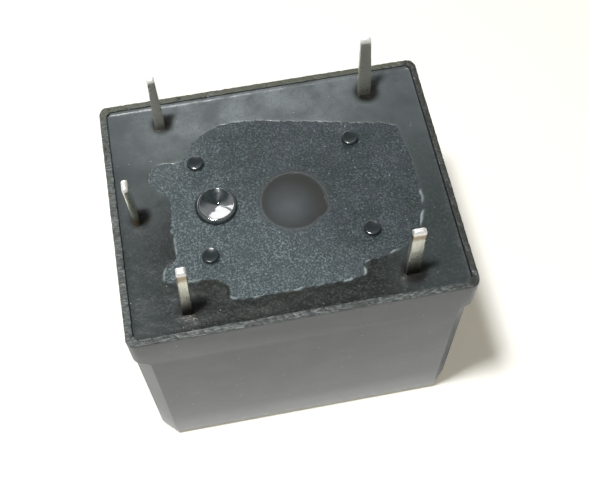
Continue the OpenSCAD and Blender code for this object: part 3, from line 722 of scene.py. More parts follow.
class Bench:
    """Modelling steps on one piece at a time, in millimetres."""

    @staticmethod
    def clear() -> None:
        """Leave edit mode, and leave nothing selected."""
        if bpy.context.object and bpy.context.object.mode != "OBJECT":
            bpy.ops.object.mode_set(mode="OBJECT")
        bpy.ops.object.select_all(action="DESELECT")

    @staticmethod
    def hold(piece: bpy.types.Object) -> None:
        """Make a piece the only selected one.

        Args:
            piece: The piece.
        """
        Bench.clear()
        piece.select_set(True)
        bpy.context.view_layer.objects.active = piece

    @staticmethod
    def named(name: str) -> bpy.types.Object:
        """Name the primitive that was just added, and put its place in its mesh.

        Args:
            name: The new piece's name.

        Returns:
            The piece.
        """
        piece = bpy.context.object
        piece.name = piece.data.name = name
        bpy.ops.object.transform_apply(location=True, rotation=True, scale=True)
        return piece

    @staticmethod
    def block(name: str, low: Sequence[float], high: Sequence[float]) -> bpy.types.Object:
        """Block between two corners.

        Args:
            name: Its name.
            low: Its lowest corner.
            high: Its highest corner.

        Returns:
            The block.
        """
        Bench.clear()
        a, b = Vector(low), Vector(high)
        bpy.ops.mesh.primitive_cube_add(size=1, location=(a + b) / 2)
        bpy.context.object.scale = b - a
        return Bench.named(name)

    @staticmethod
    def prism(name: str, outline: Sequence[Sequence[float]], z0: float, z1: float) -> bpy.types.Object:
        """Upright prism.

        Args:
            name: Its name.
            outline: Its outline from above, anticlockwise.
            z0: Height of its foot.
            z1: Height of its top.

        Returns:
            The prism.
        """
        Bench.clear()
        bpy.ops.mesh.primitive_circle_add(vertices=len(outline), radius=1, fill_type="NGON")
        piece = Bench.named(name)
        for vertex, (x, y) in zip(piece.data.vertices, outline):
            vertex.co = (x, y, z0)
        Bench.select_all(piece)
        bpy.ops.mesh.extrude_region_move(TRANSFORM_OT_translate={"value": (0, 0, z1 - z0)})
        Bench.outward(piece)
        return piece

    @staticmethod
    def outward(piece: bpy.types.Object) -> None:
        """Turn all the faces of a piece outward.

        Args:
            piece: The piece.
        """
        Bench.select_all(piece)
        bpy.ops.mesh.normals_make_consistent(inside=False)
        Bench.clear()

    @staticmethod
    def edit(piece: bpy.types.Object, kind: str) -> bmesh.types.BMesh:
        """Enter edit mode with nothing selected.

        Args:
            piece: The piece.
            kind: What is going to be selected, FACE or EDGE.

        Returns:
            The mesh that is edited.
        """
        Bench.hold(piece)
        bpy.ops.object.mode_set(mode="EDIT")
        bpy.ops.mesh.select_mode(type=kind)
        bpy.ops.mesh.select_all(action="DESELECT")
        return bmesh.from_edit_mesh(piece.data)

    @staticmethod
    def select(piece: bpy.types.Object, test: Test) -> None:
        """Enter edit mode with some faces selected.

        Args:
            piece: The piece.
            test: Tells from a face's centre and normal whether it is wanted.
        """
        mesh = Bench.edit(piece, "FACE")
        for face in mesh.faces:
            face.select_set(bool(test(face.calc_center_median(), face.normal)))
        bmesh.update_edit_mesh(piece.data)

    @staticmethod
    def select_all(piece: bpy.types.Object) -> None:
        """Enter edit mode with all the faces selected."""
        Bench.select(piece, lambda centre, normal: True)

    @staticmethod
    def select_edges(piece: bpy.types.Object, test: Test) -> None:
        """Enter edit mode with some edges selected.

        Args:
            piece: The piece.
            test: Tells from an edge's two ends whether it is wanted.
        """
        mesh = Bench.edit(piece, "EDGE")
        for edge in mesh.edges:
            edge.select_set(bool(test(edge.verts[0].co, edge.verts[1].co)))
        bmesh.update_edit_mesh(piece.data)

    @staticmethod
    def modify(piece: bpy.types.Object, kind: str, **settings: object) -> None:
        """Apply one modifier to a piece.

        Args:
            piece: The piece.
            kind: The modifier's type.
            settings: The modifier's values by name.
        """
        Bench.hold(piece)
        modifier = piece.modifiers.new(kind.lower(), kind)
        for name, value in settings.items():
            setattr(modifier, name, value)
        bpy.ops.object.modifier_apply(modifier=modifier.name)

    @staticmethod
    def soften(piece: bpy.types.Object, width: float, segments: int = 2, angle: float = 35.0) -> None:
        """Round the edges that are sharper than angle."""
        limit = math.radians(angle)
        Bench.modify(piece, "BEVEL", width=width, segments=segments, limit_method="ANGLE", angle_limit=limit)

    @staticmethod
    def cut(piece: bpy.types.Object, tool: bpy.types.Object) -> None:
        """Take a tool's shape off a piece, and throw the tool away."""
        Bench.modify(piece, "BOOLEAN", object=tool, operation="DIFFERENCE", solver="EXACT")
        bpy.data.objects.remove(tool)

    @staticmethod
    def draw_out(
        name: str, run: Point, centre: Point, axis: Point, angle: float, rise: float
    ) -> bpy.types.Object:
        """Draw the flat section that was just added along a run, round a bend and up.

        Args:
            name: The new piece's name.
            run: The way and length of the run.
            centre: The bend's centre.
            axis: The bend's axis.
            angle: The bend's angle, in degrees.
            rise: The length above the bend.

        Returns:
            The piece.
        """
        piece = Bench.named(name)
        Bench.select_all(piece)
        bpy.ops.mesh.extrude_region_move(TRANSFORM_OT_translate={"value": run})
        bpy.ops.mesh.spin(steps=6, angle=math.radians(angle), center=centre, axis=axis, dupli=False)
        bpy.ops.mesh.extrude_region_move(TRANSFORM_OT_translate={"value": (0, 0, rise)})
        Bench.outward(piece)
        return piece

    @staticmethod
    def join(pieces: Sequence[bpy.types.Object], name: str) -> bpy.types.Object:
        """Make several pieces one.

        Args:
            pieces: The pieces.
            name: The name of the result.

        Returns:
            The joined piece.
        """
        Bench.hold(pieces[0])
        for piece in pieces:
            piece.select_set(True)
        if len(pieces) > 1:
            bpy.ops.object.join()
        pieces[0].name = pieces[0].data.name = name
        return pieces[0]

    @staticmethod
    def copy(piece: bpy.types.Object, name: str, change: Matrix) -> bpy.types.Object:
        """Copy a piece with its own mesh.

        Args:
            piece: The piece.
            name: The copy's name.
            change: Where the copy goes. A mirror is allowed.

        Returns:
            The copy.
        """
        Bench.hold(piece)
        bpy.ops.object.duplicate()
        twin = bpy.context.object
        twin.name = twin.data.name = name
        twin.data.transform(change)
        if change.determinant() < 0:
            twin.data.flip_normals()
        return twin

    @staticmethod
    def slice(piece: bpy.types.Object, place: Point, normal: Point, test: Test) -> None:
        """Cut faces along a plane, and keep both sides.

        Args:
            piece: The piece.
            place: A point on the plane.
            normal: The plane's normal.
            test: Tells from a face's centre and normal whether it is cut.
        """
        Bench.select(piece, test)
        bpy.ops.mesh.bisect(plane_co=place, plane_no=normal)
        Bench.clear()

    @staticmethod
    def move(piece: bpy.types.Object, change: Callable[[np.ndarray], np.ndarray]) -> None:
        """Move a piece's vertices.

        Args:
            piece: The piece.
            change: Gives the new places from the old ones, as rows of x, y and z.
        """
        Bench.clear()
        places = np.empty(len(piece.data.vertices) * 3, np.float32)
        piece.data.vertices.foreach_get("co", places)
        moved = change(places.reshape(-1, 3).astype(float))
        piece.data.vertices.foreach_set("co", moved.astype(np.float32).ravel())
        piece.data.update()

    @staticmethod
    def grid(
        name: str, low: Sequence[float], high: Sequence[float], z: float, pitch: float
    ) -> bpy.types.Object:
        """Fine level grid between two corners.

        Args:
            name: Its name.
            low: Its lowest corner.
            high: Its highest corner.
            z: Its height.
            pitch: Rough size of its faces.

        Returns:
            The grid.
        """
        Bench.clear()
        size = (high[0] - low[0], high[1] - low[1])
        bpy.ops.mesh.primitive_grid_add(
            x_subdivisions=round(size[0] / pitch), y_subdivisions=round(size[1] / pitch), size=1,
            location=((low[0] + high[0]) / 2, (low[1] + high[1]) / 2, z),
        )
        bpy.context.object.scale = (*size, 1)
        return Bench.named(name)

    @staticmethod
    def drop(piece: bpy.types.Object, gone: Where, depth: float) -> None:
        """Delete some of a grid's faces, and turn its edges down.

        Args:
            piece: The grid.
            gone: Tells from the places of the faces' centres which are deleted.
            depth: How far the edges are turned down.
        """
        Bench.clear()
        centres = np.empty(len(piece.data.polygons) * 3, np.float32)
        piece.data.polygons.foreach_get("center", centres)
        centres = centres.reshape(-1, 3)
        wanted = gone(centres[:, 0], centres[:, 1])
        Bench.hold(piece)
        for parts in (piece.data.vertices, piece.data.edges):
            parts.foreach_set("select", np.zeros(len(parts), bool))
        piece.data.polygons.foreach_set("select", wanted)
        bpy.ops.object.mode_set(mode="EDIT")
        bpy.ops.mesh.select_mode(type="FACE")
        bpy.ops.mesh.delete(type="FACE")
        bpy.ops.mesh.select_all(action="SELECT")
        bpy.ops.mesh.region_to_loop()
        bpy.ops.mesh.extrude_edges_move(TRANSFORM_OT_translate={"value": (0, 0, -depth)})
        Bench.clear()

    @staticmethod
    def spin(
        name: str, profile: Sequence[tuple[float, float]], centre: Sequence[float], steps: int
    ) -> bpy.types.Object:
        """Turned piece.

        Args:
            name: Its name.
            profile: Radius and height of each point, from the axis round to the axis.
            centre: A point on the upright axis.
            steps: Number of steps round.

        Returns:
            The piece.
        """
        Bench.clear()
        bpy.ops.mesh.primitive_circle_add(vertices=len(profile), radius=1, fill_type="NOTHING")
        piece = Bench.named(name)
        for vertex, (radius, height) in zip(piece.data.vertices, profile):
            vertex.co = (centre[0] + radius, centre[1], height)
        Bench.select_edges(piece, lambda a, b: a.x - centre[0] < 1e-6 and b.x - centre[0] < 1e-6)
        bpy.ops.mesh.delete(type="EDGE")
        bpy.ops.mesh.select_all(action="SELECT")
        bpy.ops.mesh.spin(
            steps=steps, angle=math.tau, center=(centre[0], centre[1], 0), axis=(0, 0, 1), dupli=False
        )
        bpy.ops.mesh.select_all(action="SELECT")
        bpy.ops.mesh.remove_doubles(threshold=1e-4)
        Bench.outward(piece)
        return piece


def ripple(x: np.ndarray, y: np.ndarray, pitch: float, seed: int, waves: int = 14) -> np.ndarray:
    """Gentle unevenness between about -1 and 1.

    Args:
        x: One coordinate of the points.
        y: The other.
        pitch: Rough length of a wave.
        seed: Picks the pattern.
        waves: Number of plane waves that are added.

    Returns:
        The height at each point.
    """
    chance = np.random.default_rng(seed)
    turn, phase = chance.uniform(0, math.tau, (2, waves))
    rate = math.tau / pitch * chance.uniform(0.6, 1.7, waves)
    total = sum(np.sin(r * (x * math.cos(t) + y * math.sin(t)) + p) for r, t, p in zip(rate, turn, phase))
    return total / math.sqrt(2 * waves)


def smooth_step(value: np.ndarray, low: float, high: float) -> np.ndarray:
    """0 below low, 1 above high, and smooth between."""
    share = np.clip((value - low) / (high - low), 0, 1)
    return share * share * (3 - 2 * share)


def smooth_loop(points: Sequence[tuple[float, float]], steps: int = 4) -> np.ndarray:
    """Closed smooth curve through some points.

    Args:
        points: The points, in order round the curve.
        steps: Number of steps from each point to the next.

    Returns:
        The curve, as rows of x and y.
    """
    p = np.array(points, float)
    a, b, c, d = (np.roll(p, k, axis=0)[:, None, :] for k in (1, 0, -1, -2))
    t = (np.arange(steps) / steps)[None, :, None]
    curve = (2 * b + (c - a) * t + (2 * a - 5 * b + 4 * c - d) * t**2 + (3 * b - a - 3 * c + d) * t**3) / 2
    return curve.reshape(-1, 2)


def outside(x: np.ndarray, y: np.ndarray, loop: np.ndarray) -> np.ndarray:
    """Distance of points from a closed outline.

    Args:
        x: One coordinate of the points.
        y: The other.
        loop: The outline, as rows of x and y.

    Returns:
        The distance of each point, below 0 for those inside.
    """
    nearest = np.full(x.shape, np.inf)
    inside = np.zeros(x.shape, bool)
    for (ax, ay), (bx, by) in zip(loop, np.roll(loop, -1, axis=0)):
        dx, dy = bx - ax, by - ay
        share = np.clip(((x - ax) * dx + (y - ay) * dy) / (dx * dx + dy * dy), 0, 1)
        nearest = np.minimum(nearest, np.hypot(x - ax - share * dx, y - ay - share * dy))
        if ay != by:
            inside ^= ((ay > y) != (by > y)) & (x < ax + (y - ay) * dx / dy)
    return np.where(inside, -nearest, nearest)


def inside(x: np.ndarray, y: np.ndarray, dent: Dent, soft: float) -> np.ndarray:
    """1 inside a round mark and 0 outside, with a soft edge of the given width."""
    return smooth_step(dent.r - np.hypot(x - dent.x, y - dent.y), 0, soft)


def beside(x: np.ndarray, y: np.ndarray, centre: Sequence[float], half: Sequence[float]) -> np.ndarray:
    """Distance of points from a rectangle, 0 inside it."""
    gaps = (np.abs(k - middle) - reach for k, middle, reach in zip((x, y), centre, half))
    return np.hypot(*(np.maximum(gap, 0) for gap in gaps))


class Finishes:
    """The record's material slots, each with its material."""

    def __init__(self, rim: float, tip: float) -> None:
        """Make all the materials.

        Args:
            rim: Height of the case's rim.
            tip: Height of the pins' tips.
        """
        tin = TinnedMetal(FACE_Z, tip).build()
        self.slots: dict[str, bpy.types.Material] = {
            "case_plastic": CasePlastic(rim).build(),
            "base_plastic": BasePlastic().build(),
            "resin": CastResin(back=7.0, front=-3.0).build(),
            "vent_resin": GlossResin().build(),
            "tinned_metal": tin,
            "tinned_blade": tin,
            "bobbin_plastic": NaturalPlastic().build(),
        }
        for metal in (
            Metal("enamelled_wire", (0.5, 0.17, 0.06), (0.38, 0.12, 0.05), 0.3),
            Metal("solder", (0.66, 0.66, 0.64), (0.5, 0.5, 0.48), 0.25),
            Metal("plated_steel", (0.52, 0.52, 0.53), (0.4, 0.41, 0.42), 0.38, Grain.ALONG_X),
            Metal("spring_bronze", (0.62, 0.38, 0.2), (0.5, 0.28, 0.13), 0.3, Grain.ALONG_X),
            Metal("rivet_brass", (0.65, 0.5, 0.24), (0.5, 0.36, 0.16), 0.3),
            Metal("contact_silver", (0.8, 0.8, 0.78), (0.6, 0.58, 0.53), 0.28),
        ):
            self.slots[metal.name] = metal.build()

    def paint(self, thing: bpy.types.Object, slot: str) -> None:
        """Give a thing the finish of a slot.

        Args:
            thing: The thing.
            slot: The slot.
        """
        if not thing.material_slots:
            thing.data.materials.append(self.slots[slot])
        for holder in thing.material_slots:
            holder.material = self.slots[slot]


@dataclass
class Assembly:
    """What every sub-assembly can do with its pieces."""

    finishes: Finishes

    def fit(
        self, piece: bpy.types.Object, slot: str, *nodes: str, body: Body = Body.RELAY, angle: float = 32.0,
        bend: tuple[Point, Point] | None = None,
    ) -> bpy.types.Object:
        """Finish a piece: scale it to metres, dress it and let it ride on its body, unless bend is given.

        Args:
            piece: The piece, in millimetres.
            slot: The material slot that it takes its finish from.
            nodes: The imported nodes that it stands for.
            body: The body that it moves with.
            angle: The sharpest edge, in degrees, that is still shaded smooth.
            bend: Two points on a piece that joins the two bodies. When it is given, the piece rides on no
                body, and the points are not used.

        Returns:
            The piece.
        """
        piece.data.transform(Matrix.Scale(MM, 4))
        Bench.hold(piece)
        bpy.ops.object.shade_smooth_by_angle(angle=math.radians(angle))
        Bench.clear()
        self.finishes.paint(piece, slot)
        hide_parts(*nodes)
        if bend:
            start, end = (tuple(k * MM for k in point) for point in bend)
            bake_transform(piece)
            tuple(start)
            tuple(end)
        else:
            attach(piece, body.value)
        LOG.info("%s: %d faces, for %s", piece.name, len(piece.data.polygons), ", ".join(nodes) or "no node")
        return piece


# ---- stage ------------------------------------------------------------------


@dataclass
class Stage:
    """Floor, lamps, world and camera. None of it is part of the relay."""

    target: Point = (0.772, 0.344, 8.8)
    azimuth: float = -9.2319
    elevation: float = 62.6345
    roll: float = -1.5436
    distance: float = 61.4233
    lens: float = 60.12
    floor_half: float = 400.0
    floor_glow: float = 0.17
    overhead: float = 0.07
    overhead_edge: tuple[float, float] = (0.8, 0.6)
    sky: float = 0.2
    key_place: Point = (-30.0, -13.0, 153.0)
    key_size: tuple[float, float] = (16.0, 16.0)
    key_power: float = 0.215
    strip_place: Point = (-43.0, 132.0, 66.0)
    strip_size: tuple[float, float] = (200.0, 60.0)
    strip_power: float = 0.115
    paper: tuple[Colour, Colour] = ((0.94, 0.94, 0.91), (0.97, 0.97, 0.94))
    glow_colour: Colour = (1.0, 0.88, 0.58)
    side_level: float = 0.6
    lamp_aim: Point = (0.0, 0.0, 8.0)

    def build(self) -> None:
        """Make everything around the relay."""
        self._floor()
        self._world()
        self._lamp("key_lamp", self.key_place, self.key_size, self.key_power)
        strip = self._lamp("strip_lamp", self.strip_place, self.strip_size, self.strip_power)
        # only shiny surfaces show the strip, so the relay casts one shadow
        strip.visible_diffuse = False
        self._camera()

    def _floor(self) -> None:
        """White paper that the relay lies on."""
        Bench.clear()
        bpy.ops.mesh.primitive_grid_add(x_subdivisions=8, y_subdivisions=8, size=2 * self.floor_half * MM)
        floor = bpy.context.object
        floor.name = "floor"
        s = Shader("paper")
        tone = s.blend(s.noise(30, 3), *self.paper)
        s.finish(
            Base_Color=tone, Roughness=0.9, Emission_Color=self.glow_colour,
            Emission_Strength=s.product(s.seen_by_camera(), self.floor_glow),
        )
        floor.data.materials.append(s.material)

    def _world(self) -> None:
        """Pale surroundings: white to the camera, and dim overhead in shiny surfaces."""
        world = bpy.data.worlds.new("studio")
        tree = Tree(world)
        way = tree.nodes.new("ShaderNodeTexCoord").outputs["Generated"]
        height = tree.vector("DOT_PRODUCT", way, (0, 0, 1))
        window = tree.step(height, *self.overhead_edge)
        gloss = tree.seen_in_gloss()
        camera = tree.seen_by_camera()
        rest = tree.maths("SUBTRACT", 1.0, tree.maths("MAXIMUM", gloss, camera))
        mirrored = tree.product(gloss, tree.between(window, self.overhead, self.side_level))
        level = tree.maths("ADD", camera, mirrored)
        back = tree.nodes["Background"]
        back.inputs["Color"].default_value = (1.0, 1.0, 1.0, 1.0)
        tree.put(back.inputs["Strength"], tree.maths("ADD", level, tree.product(rest, self.sky)))
        bpy.context.scene.world = world

    def _lamp(self, name: str, place: Point, size: tuple[float, float], power: float) -> bpy.types.Object:
        """Oblong lamp that looks at the relay.

        Args:
            name: The lamp's name.
            place: Its place.
            size: Its width and height.
            power: Its power in watts.

        Returns:
            The lamp.
        """
        lamp = bpy.data.lights.new(name, "AREA")
        lamp.shape, lamp.size, lamp.size_y, lamp.energy = "RECTANGLE", size[0] * MM, size[1] * MM, power
        thing = bpy.data.objects.new(name, lamp)
        bpy.context.scene.collection.objects.link(thing)
        thing.location = Vector(place) * MM
        thing.rotation_euler = (Vector(self.lamp_aim) - Vector(place)).to_track_quat("-Z", "Y").to_euler()
        return thing

    def _camera(self) -> None:
        """Camera that looks down on the pins."""
        across, up = math.radians(self.azimuth), math.radians(self.elevation)
        back = Vector((math.sin(across) * math.cos(up), -math.cos(across) * math.cos(up), math.sin(up)))
        right = Vector((0, 0, 1)).cross(back).normalized()
        turn = Matrix((right, back.cross(right), back)).transposed() @ Matrix.Rotation(
            math.radians(self.roll), 3, "Z"
        )
        camera = bpy.data.objects.new("camera", bpy.data.cameras.new("camera"))
        bpy.context.scene.collection.objects.link(camera)
        place = Vector(self.target) + back * self.distance
        camera.matrix_world = Matrix.Translation(place * MM) @ turn.to_4x4()
        camera.data.lens, camera.data.sensor_width = self.lens, 36.0
        camera.data.clip_start, camera.data.clip_end = 0.001, 10.0
        bpy.context.scene.camera = camera
        bpy.context.scene.view_settings.view_transform = "Standard"


# ---- sub-assemblies ---------------------------------------------------------


@dataclass
class Case(Assembly):
    """Moulded box with a closed end, chamfered upright corners and a ragged rim."""

    corner_r: float = 0.5
    end_r: float = 0.5
    chamfer: float = 0.9
    chamfer_stop: float = 3.1
    runout_r: float = 0.8
    wall: float = 0.6
    skirt_wall: float = 0.37
    skirt_drift: tuple[float, float] = (0.04, 0.01)
    end_wall: float = 0.8
    edge: float = 0.05
    past: float = 1.0
    lap: float = 0.01
    rim_pitch: float = 0.16
    rim_band: float = 0.22
    rim_wear: float = 0.022
    rim_shift: float = 0.011

    def build(self) -> None:
        """Make the case."""
        low, high = corners("case")
        shell = Bench.block("case_shell", low, high)
        Bench.select_edges(shell, lambda a, b: abs(a.z - b.z) > 1)
        bpy.ops.mesh.bevel(offset=self.corner_r, segments=5, affect="EDGES", clamp_overlap=False)
        Bench.clear()
        Bench.cut(shell, self._corner_tools(high))
        Bench.select_edges(shell, lambda a, b: max(a.z, b.z) < low.z + 1e-4)
        bpy.ops.mesh.bevel(offset=self.end_r, segments=4, affect="EDGES", clamp_overlap=False)
        Bench.clear()
        for tool in self._hollow_tools(high):
            Bench.cut(shell, tool)
        Bench.soften(shell, self.edge)
        self._roughen_rim(shell, high)
        self.fit(shell, "case_plastic", "case")

    def _corner_tools(self, high: Vector) -> bpy.types.Object:
        """The tool that takes the chamfers off the four upright corners, up to their run-out.

        Args:
            high: The case's highest corner.

        Returns:
            The tool.
        """
        face, stop = -self.chamfer / math.sqrt(2), high.z - self.chamfer_stop
        steps = [math.radians(180 - 15 * k) for k in range(7)]
        turn = [(face + self.runout_r * (1 + math.cos(a)), stop + self.runout_r * math.sin(a)) for a in steps]
        far = 2 * self.runout_r
        outline = [(face, -self.past), (far, -self.past), (far, stop + self.runout_r), *turn[::-1]]
        upright = Matrix.Rotation(math.radians(90), 4, "X")
        first = Bench.prism("corner_tool", outline, -2 * self.chamfer, 2 * self.chamfer)
        first.data.transform(Matrix.Rotation(math.radians(45), 4, "Z") @ upright)
        first.data.transform(Matrix.Translation((high.x, high.y, 0)))
        tools = [first]
        for x, y in ((-1, 1), (1, -1), (-1, -1)):
            tools.append(Bench.copy(first, "corner_tool_twin", Matrix.Diagonal((x, y, 1, 1))))
        return Bench.join(tools, "corner_tools")

    def _hollow_tools(self, high: Vector) -> Iterable[bpy.types.Object]:
        """The two tools that hollow the case: round the mechanism, and wider inside the skirt.

        Args:
            high: The case's highest corner.

        Yields:
            Each tool.
        """
        cut = self.chamfer - self.wall * (2 - math.sqrt(2))
        base_back = corners("bobbin")[1].z
        for name, wall, corner, z0, z1 in (
            ("hollow_tool", self.wall, cut, self.end_wall, base_back + self.lap),
            ("skirt_tool", self.skirt_wall, self.corner_r / 2, base_back, high.z + self.past),
        ):
            x, y = high.x - wall, high.y - wall
            outline = [
                (x, y - corner), (x - corner, y), (corner - x, y), (-x, y - corner),
                (-x, corner - y), (corner - x, -y), (x - corner, -y), (x, corner - y),
            ]
            tool = Bench.prism(name, outline, z0, z1)
            if name == "skirt_tool":
                tool.data.transform(Matrix.Translation((*self.skirt_drift, 0)))
            yield tool

    def _roughen_rim(self, shell: bpy.types.Object, high: Vector) -> None:
        """Divide the rim finely and make it uneven.

        Args:
            shell: The case.
            high: The case's highest corner.
        """
        start = high.z - self.rim_band
        Bench.slice(shell, (0, 0, start), (0, 0, 1), lambda at, normal: abs(normal.z) < 0.5 and at.z > 2)
        for axis, end in ((0, high.x), (1, high.y)):
            normal = tuple(float(k == axis) for k in range(3))
            for place in np.arange(-end + self.rim_pitch, end, self.rim_pitch):
                Bench.slice(shell, tuple(place * n for n in normal), normal, lambda at, normal: at.z > start)

        def wear(p: np.ndarray) -> np.ndarray:
            """Lower and shift the rim unevenly.

            Args:
                p: The places, as rows of x, y and z.

            Returns:
                The new places.
            """
            share = smooth_step(p[:, 2], start + 0.02, high.z)
            fine = ripple(p[:, 0], p[:, 1], 0.5, 3) + 0.6 * ripple(p[:, 0], p[:, 1], 0.22, 4)
            p[:, 2] -= share * self.rim_wear * (1 + fine).clip(0, 3)
            for k, seed in ((0, 5), (1, 6)):
                p[:, k] += share * self.rim_shift * ripple(p[:, 1 - k], p[:, 2], 0.6, seed)
            return p

        Bench.move(shell, wear)


# outline of the part of the base's face that the resin leaves bare
RESIN_EDGE = (
    (-7, -4.1), (-5.7, -4.3), (-4.3, -4.5), (-3.7, -5), (-3.4, -5.8),
    (-0.2, -5.85), (3.4, -5.75), (3.6, -5), (4.9, -4.75), (6.6, -4.1),
    (7.6, -2.4), (7.8, 0.1), (7.6, 2.3), (7.3, 3.4), (5.1, 4), (1.6, 4.8),
    (-2, 5.4), (-4, 4.7), (-5.2, 3.3), (-6.6, 3.3), (-7.2, 2.4), (-6.9, 1.7),
    (-6.2, 0.9), (-6.3, -1), (-6.2, -2.6), (-6.9, -3.4),
)


@dataclass
class Base(Assembly):
    """Moulded base with its raised face, recess and feet, and the ribs, barrier and posts on its back."""

    pitch: float = 0.07
    face_half: tuple[float, float] = (8.0, 6.0)
    face_lap: float = 0.5
    skirt_lap: float = 0.05
    recess_depth: float = 0.05
    recess_edge: float = 0.9
    dome: float = 0.035
    moat_depth: float = 0.09
    moat_edge: float = 0.2
    mouth_r: float = 1.1
    grain_height: float = 0.007
    warp_height: float = 0.008
    feet_at: tuple[float, float] = (0.08, -0.08)
    foot_x: float = 4.5
    foot_y: float = 3.0
    foot_r: float = 0.5
    foot_steps: int = 40
    foot_profile: tuple[tuple[float, float], ...] = (
        (0.0, -0.1), (1.12, -0.1), (1.03, 0.03), (0.97, 0.1), (0.94, 0.21),
        (0.88, 0.265), (0.8, 0.28), (0.68, 0.265), (0.35, 0.235), (0.0, 0.23),
    )
    plate_edge: float = 0.08
    part_edge: float = 0.06
    part_lap: float = 0.01
    rib: float = 0.6
    yoke_rib_inset: float = 1.2
    yoke_rib_end: float = 1.0
    post_start: float = 1.1
    post_inset: float = 0.4
    post_deep: float = 0.9
    post_clear: float = 2.0
    side_rib_insets: tuple[float, float] = (0.4, 0.2)
    side_rib_y: float = 6.9
    side_rib_long: float = 2.0
    barrier_gap: float = 0.15
    barrier_half: float = 5.4

    def build(self) -> None:
        """Make the base: a fine raised face on a plate, feet, and what hangs from its back."""
        low, high = corners("base")
        ledge = corners("sealing_resin")[0].z
        back = corners("bobbin")[1].z
        edge = smooth_loop(RESIN_EDGE)
        face = Bench.grid("base_moulding", [-k for k in self.face_half], self.face_half, FACE_Z, self.pitch)
        Bench.move(face, self._shape_face)

        def gone(x: np.ndarray, y: np.ndarray) -> np.ndarray:
            """Where the face lies deep under the resin, or the vent opens."""
            mouth = np.hypot(x - VENT_MOAT.x, y - VENT_MOAT.y) < self.mouth_r
            return (outside(x, y, edge) > self.face_lap) | mouth

        Bench.drop(face, gone, FACE_Z - ledge + self.skirt_lap)
        plate = Bench.block("plate", (low.x, low.y, back), (high.x, high.y, ledge))
        Bench.soften(plate, self.plate_edge)
        parts = [face, plate, *self._feet(), *self._back_parts(low, back)]
        piece = Bench.join(parts, "base_moulding")
        self.fit(piece, "base_plastic", "base")

    def _shape_face(self, p: np.ndarray) -> np.ndarray:
        """Sink the recess, the mark and the moat into the face, and roughen the rest.

        Args:
            p: The places, as rows of x, y and z.

        Returns:
            The new places.
        """
        x, y = p[:, 0], p[:, 1]
        away = np.hypot(x - RECESS.x, y - RECESS.y)
        flat = np.maximum(*(inside(x, y, dent, self.recess_edge) for dent in (RECESS, EJECTOR_MARK)))
        p[:, 2] += self.dome * (1 - (away / RECESS.r) ** 2).clip(0) - self.recess_depth * flat
        grain = ripple(x, y, 0.24, 21, 30) + 0.7 * ripple(x, y, 0.42, 22, 20)
        p[:, 2] += (1 - flat) * self.grain_height * grain + self.warp_height * ripple(x, y, 4, 23)
        p[:, 2] -= self.moat_depth * inside(x, y, VENT_MOAT, self.moat_edge)
        return p

    def _feet(self) -> list[bpy.types.Object]:
        """The four low round feet, with dished tops.

        Returns:
            The feet.
        """
        profile = [(share * self.foot_r, FACE_Z + rise) for share, rise in self.foot_profile]
        centre = (self.feet_at[0] - self.foot_x, self.feet_at[1] - self.foot_y)
        first = Bench.spin("foot", profile, centre, self.foot_steps)
        feet = [first]
        for x, y in ((0, 2), (2, 0), (2, 2)):
            shift = Matrix.Translation((x * self.foot_x, y * self.foot_y, 0))
            feet.append(Bench.copy(first, "foot_twin", shift))
        return feet

    def _back_parts(self, low: Vector, back: float) -> list[bpy.types.Object]:
        """The ribs, barrier and posts on the base's back.

        Args:
            low: The base's lowest corner.
            back: Height of the base's back.

        Returns:
            The parts.
        """
        yoke_low, yoke_high = corners("yoke")
        arm_low, arm_high = corners("normally_closed_terminal")
        post_z = corners("normally_open_terminal")[0].z + self.post_clear
        rib, stop = self.rib, back + self.part_lap
        parts = []
        for y in (-1, 1):
            middle = y * (yoke_high.y - self.yoke_rib_inset)
            inner = y * (arm_high.y - self.post_inset)
            post = sorted((inner, inner - y * self.post_deep))
            side = sorted((y * arm_high.y, y * self.side_rib_y))
            for name, start, end in (
                (
                    "yoke_rib", (yoke_low.x + self.yoke_rib_inset, middle - rib / 2, yoke_high.z),
                    (yoke_high.x - self.yoke_rib_end, middle + rib / 2, stop),
                ),
                (
                    "terminal_post", (arm_low.x + self.post_start, post[0], post_z),
                    (arm_high.x, post[1], stop),
                ),
                (
                    "terminal_rib", (arm_low.x + self.side_rib_insets[0], side[0], back - self.side_rib_long),
                    (arm_high.x - self.side_rib_insets[1], side[1], stop),
                ),
            ):
                parts.append(Bench.block(name, start, end))
        edge, half = corners("bobbin")[1].x + self.barrier_gap, self.barrier_half
        parts.append(Bench.block("barrier", (edge, -half, low.z), (edge + rib, half, stop)))
        for part in parts:
            Bench.soften(part, self.part_edge)
        return parts


